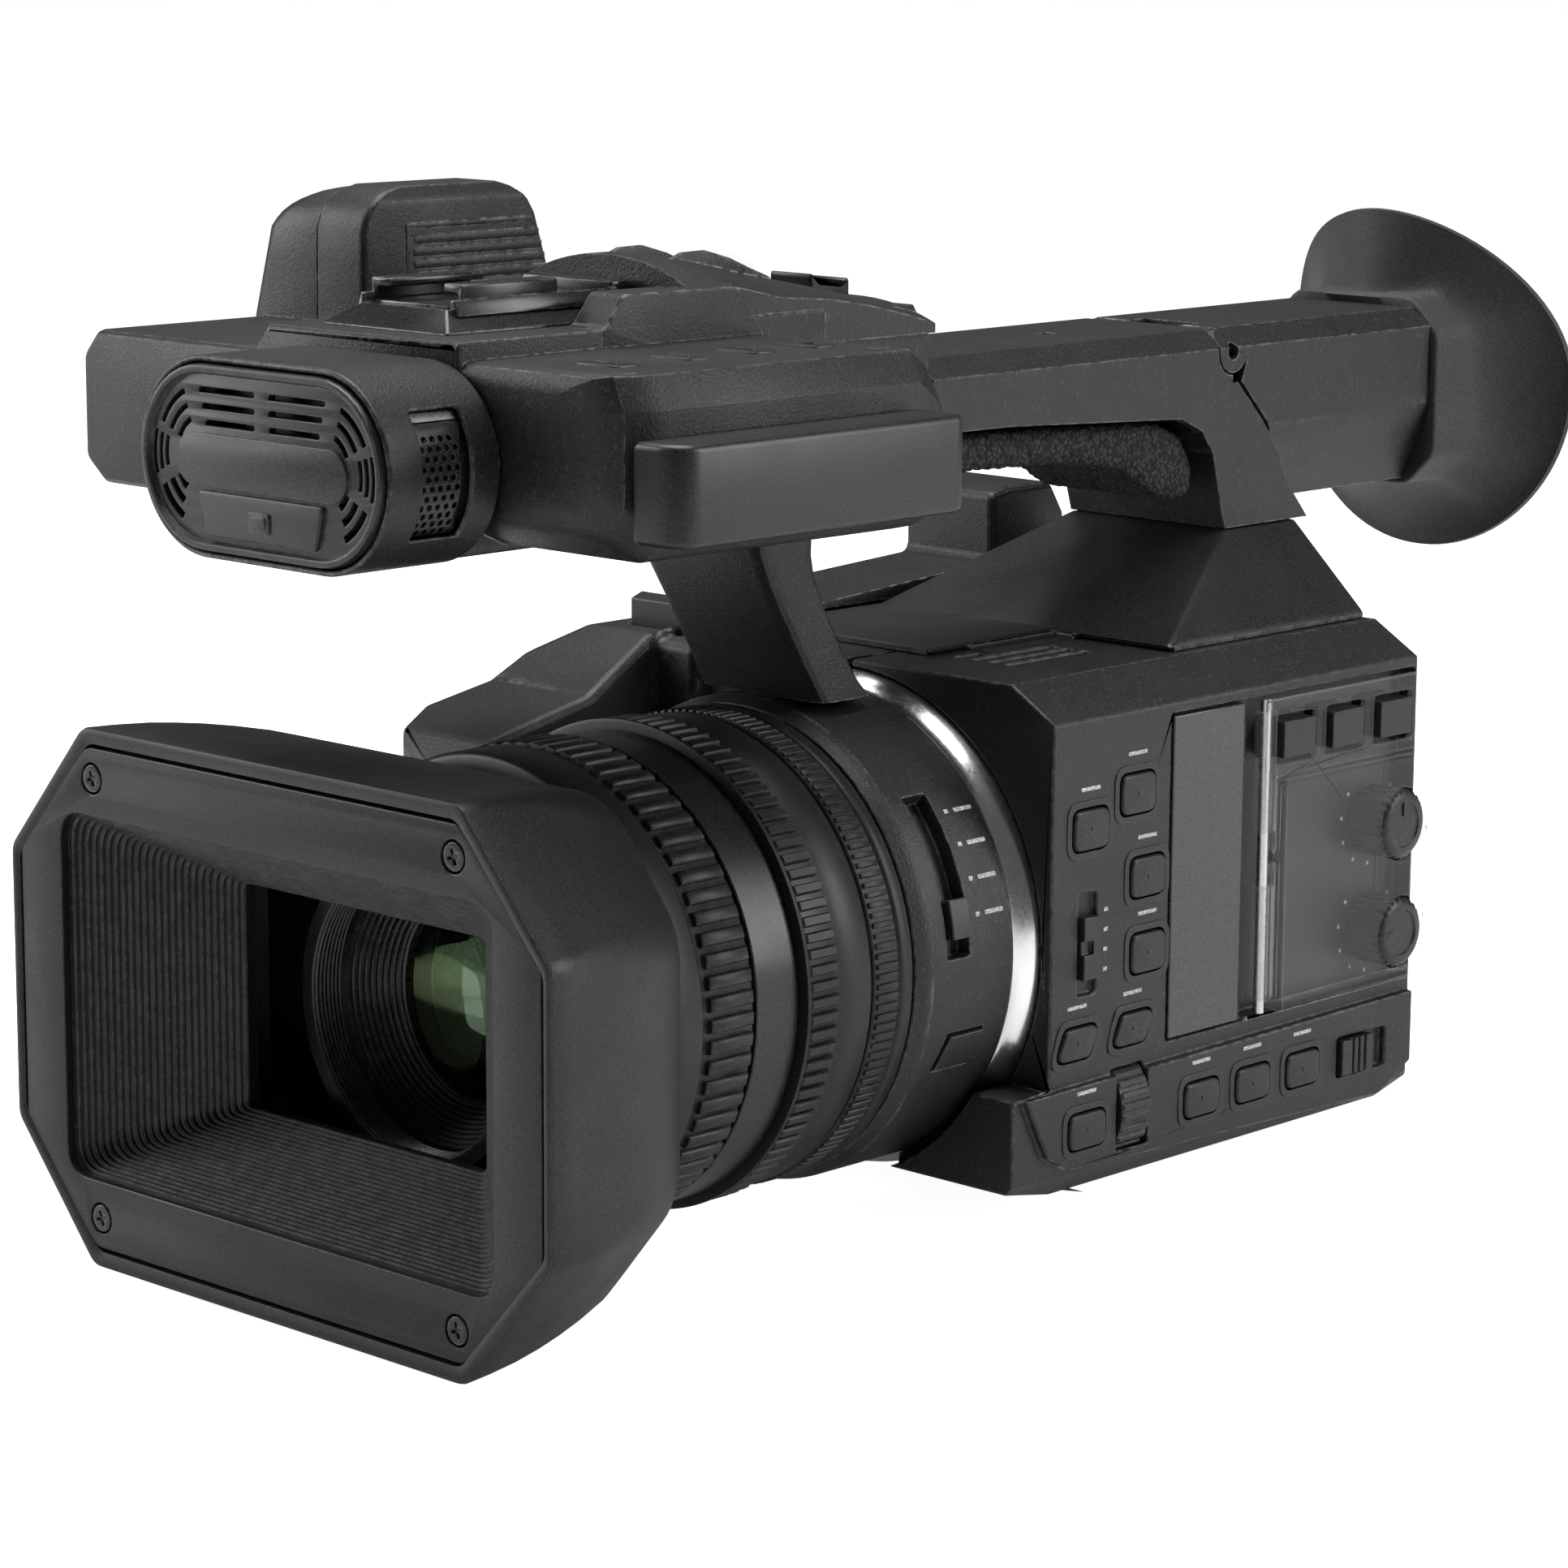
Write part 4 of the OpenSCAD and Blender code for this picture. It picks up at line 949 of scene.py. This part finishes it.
# The hump in side view, as (y, z): the crease over its side walls, and the ridge along its middle.
WALL_EDGE = [(56, 112.8), (57.2, 113.4), (60.4, 117.6), (61.4, 118.2), (86, 118.0), (88.5, 117.6),
             (98.5, 115.4), (110.5, 114.4), (120.7, 112.7), (130, 110.6), (137.3, 108.6)]
RIDGE = [(57, 113), (61, 118.6), (65.7, 120.6), (71.3, 122), (77, 122.8), (81.7, 122.8), (86.5, 122.2),
         (95.3, 120.4), (100, 119.2), (111, 117), (120.3, 115.2), (126.5, 113.9), (132, 113), (137.4, 112.3)]
HUMP_HALF = 19.6


def along(line, place):
    """The value of a line of (place, value) points."""
    return float(np.interp(place, [a for a, _ in line], [b for _, b in line]))


def hump_height(x, y):
    """Height of the housing's top: a gentle dome between the creases over its side walls."""
    edge, crest = along(WALL_EDGE, y), along(RIDGE, y)
    across = min(1.0, abs(x) / HUMP_HALF)
    return edge + max(0.0, crest - edge) * (1 - across ** 2.2)


def crease_height(x, y):
    """Height of the strip in front of the hump, just under the crease of its side wall."""
    return along(WALL_EDGE, y) - 0.02


def deck_and_hump(shape):
    """The flat deck in front, the side walls, and the hump that runs back into the handle."""
    deck = [(-30, 82), (-24, 78.5), (20, 78.5), (20, DECK_TOP), (-26, DECK_TOP), (-30, 108)]
    shape.solid("y", rounded(deck, [3, 3, 2, 0.4, 0.6, 3], 4), 24.3, 109.4, 1.3, 3)
    rear = [(-16.5, 89.2), (16.6, 89.2), (16.6, 108.4), (14.5, 111.6), (-14.5, 111.6), (-16.5, 108.4)]
    shape.solid("y", rounded(rear, [1, 1, 0.6, 0.6, 3, 3], 4), 100, 137.3, 0.5, 3)
    for side in (-1, 1):
        lead = [(56, 100), (56, 112.7), (57.4, 113.5), (60.6, 117.7), (61.8, 118.2), (86, 118), (88, 117.4),
                (94.5, 108), (94.5, 100)]
        trail = [(85, 100), (85, 117.4), (88.5, 117.2), (98.5, 115.1), (110.5, 114.1), (120.7, 112.4),
                 (130, 110.3), (137.2, 108.2), (137.2, 100)]
        for outline, reach in ((lead, 20.08), (trail, 18.2)):
            points = rounded(outline, 0.5, 3)
            low, high = sorted((side * 15.5, side * reach))
            shape.solid("x", points, low, high, 0.35, 3)
    floor, hump_start = 107, 76.2
    shape.surface(spaced(-HUMP_HALF, HUMP_HALF, 1.0), spaced(hump_start, 137.2, 1.2), hump_height, floor)
    shape.surface(spaced(12.2, HUMP_HALF, 0.9), spaced(56.4, hump_start, 0.8), crease_height, floor)
    guard = [(79, 120.4), (82, 121.4), (86.4, 122.9), (92, 123), (98, 121.4), (103, 119.4), (108, 117.6),
             (108, 116), (79, 116)]
    for side in (-1, 1):
        low, high = sorted((side * 6.9, side * 8.1))
        shape.solid("x", rounded(guard, 1.2, 4), low, high, 0.4, 2)


def screen_case(shape):
    """The case that the screen slides into, with two screw caps on its top."""
    case = [(24.6, 45, 92, 106.5), (24.9, 49, 89, 108.2), (25.6, 52, 86.2, 109.4), (27, 54.6, 84.4, CASE_TOP),
            (30, 56.2, 82, CASE_TOP), (34, 57, 80.2, CASE_TOP), (91.6, 57, 80, CASE_TOP),
            (96, 56.6, 80, 107.0), (99.6, 55.6, 80.6, 103), (102, 53.4, 82.4, 99.8)]
    shape.loft([case_section(*row) for row in case])
    for y in (32, 89.6):
        shape.solid("z", circle(1.5, 24, 49.6, y), CASE_TOP - 0.3, CASE_TOP + 0.06, 0.05, 1)


def strut(shape):
    """The leg from the deck down to the lens, leaning back as it goes down."""
    levels = [(74, 96.5, 111.5, 16), (70, 98.6, 112.0, 15.4), (66, 100.6, 113.2, 15),
              (60, 104.2, 116.2, 14.8), (53, 108.4, 120.2, 14.8), (47, 112, 124.2, 15),
              (43.6, 114, 127.2, 15.2)]
    rings = []
    for z, front, back, half in levels:
        rings.append(ring_of("z", z, rounded(rectangle(-half, half, front, back), 3, 4)))
    shape.loft(rings)


def front_housing():
    """Deck, side walls, hump, the case that the screen slides into, and the leg down to the lens."""
    shape = Shape()
    deck_and_hump(shape)
    screen_case(shape)
    strut(shape)
    return shape


def lcd_button(index):
    """A flat key sunk in the top of the screen's case, with a raised bar across it."""
    y = LCD_BUTTON_Y[index]
    shape = Shape().block((33.6, y - 2.9, 106.4), (43.4, y + 2.9, 110.1), 0.4, 1.2)
    return shape.block((36.4, y - 0.4, 109.9), (40.6, y + 0.4, 110.35), 0.15, 0.3)


def top_record_button():
    """A domed round key on the hump."""
    y = 104
    profile = [(0.02, 121.6), (1.6, 121.45), (3.2, 121), (4.6, 120.3), (5.6, 119.4), (6, 118.4), (6, 116.2),
               (5.8, 116), (0.02, 116)]
    return Shape().loft([ring_of("z", z, circle(radius, 64, 0, y)) for radius, z in profile])


def handle_zoom_lever():
    """A rocker, hollowed along its top for a fingertip."""
    side = [(121, 112.2), (131, 112.2), (131, 116.4), (128.6, 115.1), (123.4, 115.7), (121, 117.8)]
    return Shape().solid("x", rounded(side, 0.8, 4), -5, 5, 0.6)


def accessory_shoe():
    """A dark pedestal with sloping sides that carries a sheet-metal shoe with two folded rails."""
    shape, c = Shape(), SHOE_X
    pedestal = ((112.9, 15, 30.4, 75.6), (113.2, 15, 30.6, 75.6), (116, 10.6, 34.4, 75.6),
                (116.3, 10.3, 34.8, 75.4))
    rings = []
    for z, half, front, back in pedestal:
        rings.append(ring_of("z", z, rounded(rectangle(c - half, c + half, front, back), 0.5, 3)))
    shape.loft(rings)
    shape.block((c - 9.6, 37, 116.1), (c + 9.6, 71, 116.7), 0.2, 0.5)
    rail = ((9.7, 116.4), (11.1, 116.4), (11.1, 120.3), (6.4, 120.3), (6.4, 118.9), (9.7, 118.9))
    wall = ((10.0, 116), (12.4, 115.2), (11.4, 117.9), (10.2, 117.9))
    for side in (-1, 1):
        shape.solid("y", rounded([(c + side * u, z) for u, z in rail], 0.6, 4), 37.6, 58.5, 0.25, 2)
        shape.solid("y", rounded([(c + side * u, z) for u, z in wall], 0.3, 2), 35.5, 72, 0.3, 2)
    shape.block((c - 11, 70.6, 113.4), (c + 11, 75.6, 119), 0.7, 1.5)
    return shape


# The pod over the audio sockets leans in as it rises: (z, place) of its back, outer side and front.
POD_BACK = [(108, 109.6), (126, 103.8), (129, 101.8), (131, 98.4), (131.8, 95.5)]
POD_LEFT = [(108, -77), (125, -72.4), (128, -70), (130, -66.8), (131.2, -63.5), (131.8, -60)]
POD_FRONT = [(108, 63), (124.5, 63.2), (127, 64), (129.2, 65.6), (130.8, 68.2), (131.8, 72)]
POD_LEVELS = (108, 114, 119, 124.5, 126, 127.2, 128.4, 129.4, 130.2, 130.9, 131.4, 131.8)


def pod_ring(z, left, right, step, drop, radii):
    """The outline of one half of the pod at a level, set back by a step and lowered by a drop."""
    corners = rectangle(left, right, along(POD_FRONT, z) - step, along(POD_BACK, z))
    return ring_of("z", z - drop, rounded(corners, radii, 5))


def terminal_block():
    """The box of audio sockets with a tall pod on it, which has a seam in its front and ribs on its side."""
    shape = Shape()
    base = [(-77, 86), (-72, 82), (-30.3, 82), (-30.3, 108.4), (-73, 108.4), (-77, 104)]
    shape.solid("y", rounded(base, [3, 3, 1, 1, 3, 3], 4), 26, 111, 1.6, 3)
    outer_half, inner_half = [], []
    for z in POD_LEVELS:
        drop = 0.5 * (z - POD_LEVELS[0]) / 24
        lean = 0.5 * max(0.0, z - 129.5)
        outer_half.append(pod_ring(z, along(POD_LEFT, z), -58.2, 0, drop, [4, 0.3, 0.3, 4]))
        inner_half.append(pod_ring(z, -57.9, -45.8 - lean, 0.25, 0, [0.3, 1.4, 1.4, 0.3]))
    shape.loft(outer_half)
    shape.loft(inner_half)
    for k in range(5):
        z = 113.2 + 2.15 * k
        shape.block((-46.2, 74.4, z), (-45.56, along(POD_BACK, z + 1) - 0.6, z + 1.5), 0.3, 0.5)
    rail = [(72.6, 112), (73.4, 112), (73.4, 124.6), (102.6, 124.6), (102.4, 125.4), (72.6, 125.4)]
    shape.solid("x", rounded(rail, 0.3, 2), -46, -45.5, 0.2, 2)
    return shape


# ---- eyecup


def eyecup():
    """Soft collar that flares into a round shade; its rim comes forward at the top."""
    count, eye_z, flare_start, rim_radius = 96, 85.3, 296, 34.2
    outline = by_angle(rounded(octagon(20.6, 18.6, 6.5, 6.5), 4, 8), count)
    angles = [2 * math.pi * i / count for i in range(count)]

    def collar(y, grow):
        return [at(p.x * grow, y, eye_z + p.y * grow) for p in outline]

    def flare(t, radius_shift=0.0, back_shift=0.0):
        ring = []
        for i, a in enumerate(angles):
            up = max(0.0, math.sin(a)) ** 2
            down = max(0.0, -math.sin(a)) ** 2
            rim_y = 311 - 20 * up - 2.5 * down
            base_r, base_y = outline[i].length, flare_start - 6.5 * up
            radius = base_r + (rim_radius + 0.6 * up - base_r) * t ** 1.35 + radius_shift
            y = base_y + (rim_y - base_y) * (1 - (1 - t) ** 1.5) + back_shift
            ring.append(at(radius * math.cos(a), y, eye_z + radius * math.sin(a)))
        return ring

    rings = [collar(284.2, 0.97), collar(284.5, 0.995), collar(285.4, 1.0), collar(287.5, 1.0)]
    rings += [flare(t) for t in (0.0, 0.06, 0.14, 0.25, 0.38, 0.52, 0.66, 0.8, 0.92, 1.0)]
    rings += [flare(1.0, 0.2, 1.1), flare(1.0, -1.0, 1.5)]
    rings += [flare(t, -1.9, 1.2) for t in (0.9, 0.7, 0.5, 0.3, 0.1)]
    for y, radius in ((298, 15.4), (286.4, 15.2)):
        rings.append(ring_of("y", y, circle(radius, count, 0, eye_z)))
    return Shape().loft(rings, closed=True)


# ---- controls on the side

# The level of the control side's wall and of the lip below it, and the heights of two rows of keys.
WALL, LIP, PANEL = 48, 49.5, 44
ROW_LOW, ROW_LIP = -16.7, -32.6
# Each button: its place along and up the wall, width, height, slant and the level of the wall around it.
BUTTONS = {
    "user_button_1": (160.4, 26.1, 9.5, 7.4, 0, WALL),
    "user_button_2": (163.5, 10.7, 9.5, 7.4, 0, WALL),
    "user_button_3": (163.9, -3.2, 9.5, 7.4, 0, WALL),
    "user_button_4": (160.2, ROW_LOW + 0.1, 9.5, 6, 3, WALL),
    "user_button_5": (147.6, 21.4, 9.5, 7.4, 0, WALL),
    "push_focus_button": (144.9, ROW_LOW - 0.1, 9.5, 6, 3, WALL),
    "menu_button": (146.2, ROW_LIP + 0.2, 10, 6.6, 0, LIP),
    "gain_button": (178.5, ROW_LIP, 10, 6.6, 0, LIP),
    "white_balance_button": (193.5, ROW_LIP, 10, 6.6, 0, LIP),
    "shutter_button": (208.5, ROW_LIP, 10, 6.6, 0, LIP),
}
# The two volume dials: where they sit along the wall, and how far above and below the lens axis.
DIAL_Y, DIAL_RISE = 234.5, 10.4
# How far painted ticks are sunk in, and how far they stand out.
TICK_DEPTH, TICK_PROUD = 0.1, 0.06


def button_outline(name, grow, radius):
    """A key's outline, grown all round by so many mm."""
    y, z, width, height, slant, _ = BUTTONS[name]
    w, h, s = width / 2 + grow, height / 2 + grow, slant / 2
    corners = [(y - w - s, z - h), (y + w - s, z - h), (y + w + s, z + h), (y - w + s, z + h)]
    return rounded(corners, radius, 5)


def side_button(name):
    """A rounded key with a small raised dot to feel for."""
    y, z, *_, wall = BUTTONS[name]
    shape = Shape().solid("x", button_outline(name, -0.1, 1.9), wall - 1.8, wall + 0.68, 0.5, 4)
    return shape.solid("x", circle(0.45, 16, y, z), wall + 0.5, wall + 0.85, 0.1, 2)


def button_wells():
    """The moulded rims round the keys."""
    shape = Shape()
    for name, (*_, wall) in BUTTONS.items():
        loops = [button_outline(name, 1.5, 3), button_outline(name, 0.3, 2.2)]
        shape.plate(loops, wall - 0.1, wall + 0.2, 0.1, facing_side)
    return shape


def wall_tick(shape, wall, y, z):
    """One painted tick on a wall: y and z are its (low, high) ends."""
    shape.block((wall - TICK_DEPTH, y[0], z[0]), (wall + TICK_PROUD, y[1], z[1]), 0.02, 0.05)


def barrel_tick(shape, angle, y, length):
    """One painted tick that follows the lens barrel round."""
    radius, half_turn = 43.62, 0.5
    loops = []
    for reach in (radius - 0.2, radius + 0.05):
        loop = []
        for place, side in ((y, -1), (y + length, -1), (y + length, 1), (y, 1)):
            a = math.radians(angle + half_turn * side)
            loop.append(at(reach * math.cos(a), place, reach * math.sin(a)))
        loops.append(loop)
    shape.loft(loops)


def control_marks():
    """Plain light ticks beside the controls, without any lettering."""
    shape = Shape()
    for y, z, _, height, _, wall in BUTTONS.values():
        above = z + height / 2 + 3.2
        wall_tick(shape, wall, (y - 2.6, y + 2.6), (above, above + 0.7))
    for z in (-4.8, -1.2, 2.4, 6.0):
        wall_tick(shape, WALL, (151.8, 152.9), (z, z + 0.7))
    for z in (DIAL_RISE, -DIAL_RISE):
        for k in range(9):
            a = math.radians(-40 + 32.5 * k)
            y, up = DIAL_Y - 8.6 * math.sin(a + 1.57), z + 8.6 * math.cos(a + 1.57)
            shape.block((PANEL, y - 0.35, up - 0.35), (PANEL + 0.12, y + 0.35, up + 0.35), 0.02, 0.05)
    for k in range(4):
        for y, length in ((123.6, 1.0), (126.0, 4.6)):
            barrel_tick(shape, 12 + 8.2 * k, y, length)
    return shape


def volume_dial(z, turn):
    """A knurled dial with a raised pointer on its face."""
    shape, rings = Shape(), []
    count, teeth, tooth_height, plain_radius = 144, 24, 0.32, 6.2
    profile = ((44.4, 6.2), (44.6, 6.4), (51.8, 6.4), (52.3, 6.1), (52.6, 5.5), (52.6, 4.4), (52.3, 4.2))
    for x, radius in profile:
        ring = []
        for i in range(count):
            a = 2 * math.pi * i / count
            tooth = tooth_height * (0.5 + 0.5 * math.cos(teeth * a)) if radius > plain_radius else 0
            ring.append(at(x, DIAL_Y + (radius + tooth) * math.cos(a), z + (radius + tooth) * math.sin(a)))
        rings.append(ring)
    shape.loft(rings)
    a = math.radians(turn)
    side, up = Vector((math.cos(a), math.sin(a))), Vector((-math.sin(a), math.cos(a)))
    middle = Vector((DIAL_Y, z))
    pointer = [middle + side * u + up * v for u, v in rectangle(-0.45, 0.45, 1.6, 4.2)]
    shape.solid("x", pointer, 52.2, 52.65, 0.05, 1)
    return shape.solid("x", circle(2.1, 24, DIAL_Y, z), 40.2, 44.8, 0.1, 1)


def handle_pad():
    """Coarse foam under the handle: a soft block with a pitted skin."""
    side = [(138.2, 88.2), (205, 85.6), (212.3, 82.9), (215.6, 78.6), (216.9, 72.4), (213, 69.9),
            (205, 71.3), (195, 77.1), (180, 79.7), (138.2, 80.9)]
    return Shape().solid("x", rounded(side, 2.2, 5), -15.4, 15.4, 2.6, 5)


def pitted(piece, size_mm, depth_mm, voxel_mm):
    """Gives a soft piece an even fine mesh and pushes its surface in and out."""
    remesh = piece.modifiers.new("even", "REMESH")
    remesh.mode, remesh.voxel_size, remesh.use_smooth_shade = "VOXEL", voxel_mm * MM, True
    grain = bpy.data.textures.new("pits", "CLOUDS")
    grain.noise_scale, grain.noise_depth = size_mm * MM, 1
    push = piece.modifiers.new("pits", "DISPLACE")
    push.texture, push.strength, push.mid_level = grain, depth_mm * MM, 0.75


# ---- the camcorder

# The pieces drawn here: the function named for each node, and the angle past which its edges stay sharp.
SHARP = {
    hood_shell: 40, hood_face: 30, hood_screws: 35, filter_ring: 25, front_lens: 60, lens_tube: 30,
    focus_ring: 40, zoom_ring: 40, iris_ring: 40, trim_ring: 40, microphone_grille: 40, lcd_slab: 50,
    front_housing: 24, top_record_button: 50, handle_zoom_lever: 40, accessory_shoe: 28, terminal_block: 30,
    eyecup: 60, handle_pad: 60,
}
PIECES = {build.__name__: (build, sharp) for build, sharp in SHARP.items()}
PIECES["volume_dial_1"] = (lambda: volume_dial(DIAL_RISE, 0), 40)
PIECES["volume_dial_2"] = (lambda: volume_dial(-DIAL_RISE, 90), 40)
for index in range(len(LCD_BUTTON_Y)):
    PIECES[f"lcd_button_{index + 1}"] = (lambda index=index: lcd_button(index), 40)
for name in BUTTONS:
    PIECES[name] = (lambda name=name: side_button(name), 40)

# The other nodes keep their CAD shape, with edges rounded by this many mm.
PLAIN_EDGE = 0.25
EDGE = {"handle_shell": 0.45, "viewfinder": 0.45, "left_body_shell": 0.5, "right_body_shell": 1.5,
        "top_cover": 1.0, "microphone_housing": 0.5, "hand_strap": 0.8, "battery": 1.2, "audio_door": 0.4}
CLAMPED = ("handle_shell", "viewfinder")
SHOWN_AS_CAD = ("eyepiece_lens", "hinge_pins", "circuit_boards")


bpy.context.scene.view_settings.view_transform = "Standard"
make_camera()
make_world()
make_lights()
make_floor()
MATERIALS = make_materials()
for node in frame["nodes"]:
    if node in PIECES:
        build, sharp = PIECES[node]
        dress(build().mesh(node + "_detail"), node, sharp)
    elif node in SHOWN_AS_CAD:
        frame["nodes"][node].data.materials.clear()
        frame["nodes"][node].data.materials.append(MATERIALS[SLOT_OF[node]])
    else:
        refined(node, EDGE.get(node, PLAIN_EDGE), clamp=node in CLAMPED)

pad = bpy.data.objects["handle_pad_detail"]
pitted(pad, size_mm=1.3, depth_mm=0.9, voxel_mm=0.85)
# Trim that stands for no CAD node: its name, what draws it, the record's slot and the material it shows.
TRIM = (("button_wells", button_wells, "button_plastic", "button_plastic"),
        ("control_marks", control_marks, "steel", "mark_paint"),
        ("screen_bands", screen_bands, "steel", "steel"))
for name, build, slot, paint in TRIM:
    mesh = build().mesh(name)
    mesh.materials.append(MATERIALS[paint])
    trim = bpy.data.objects.new(name, mesh)
    bpy.context.scene.collection.objects.link(trim)
    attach(trim, "camera")
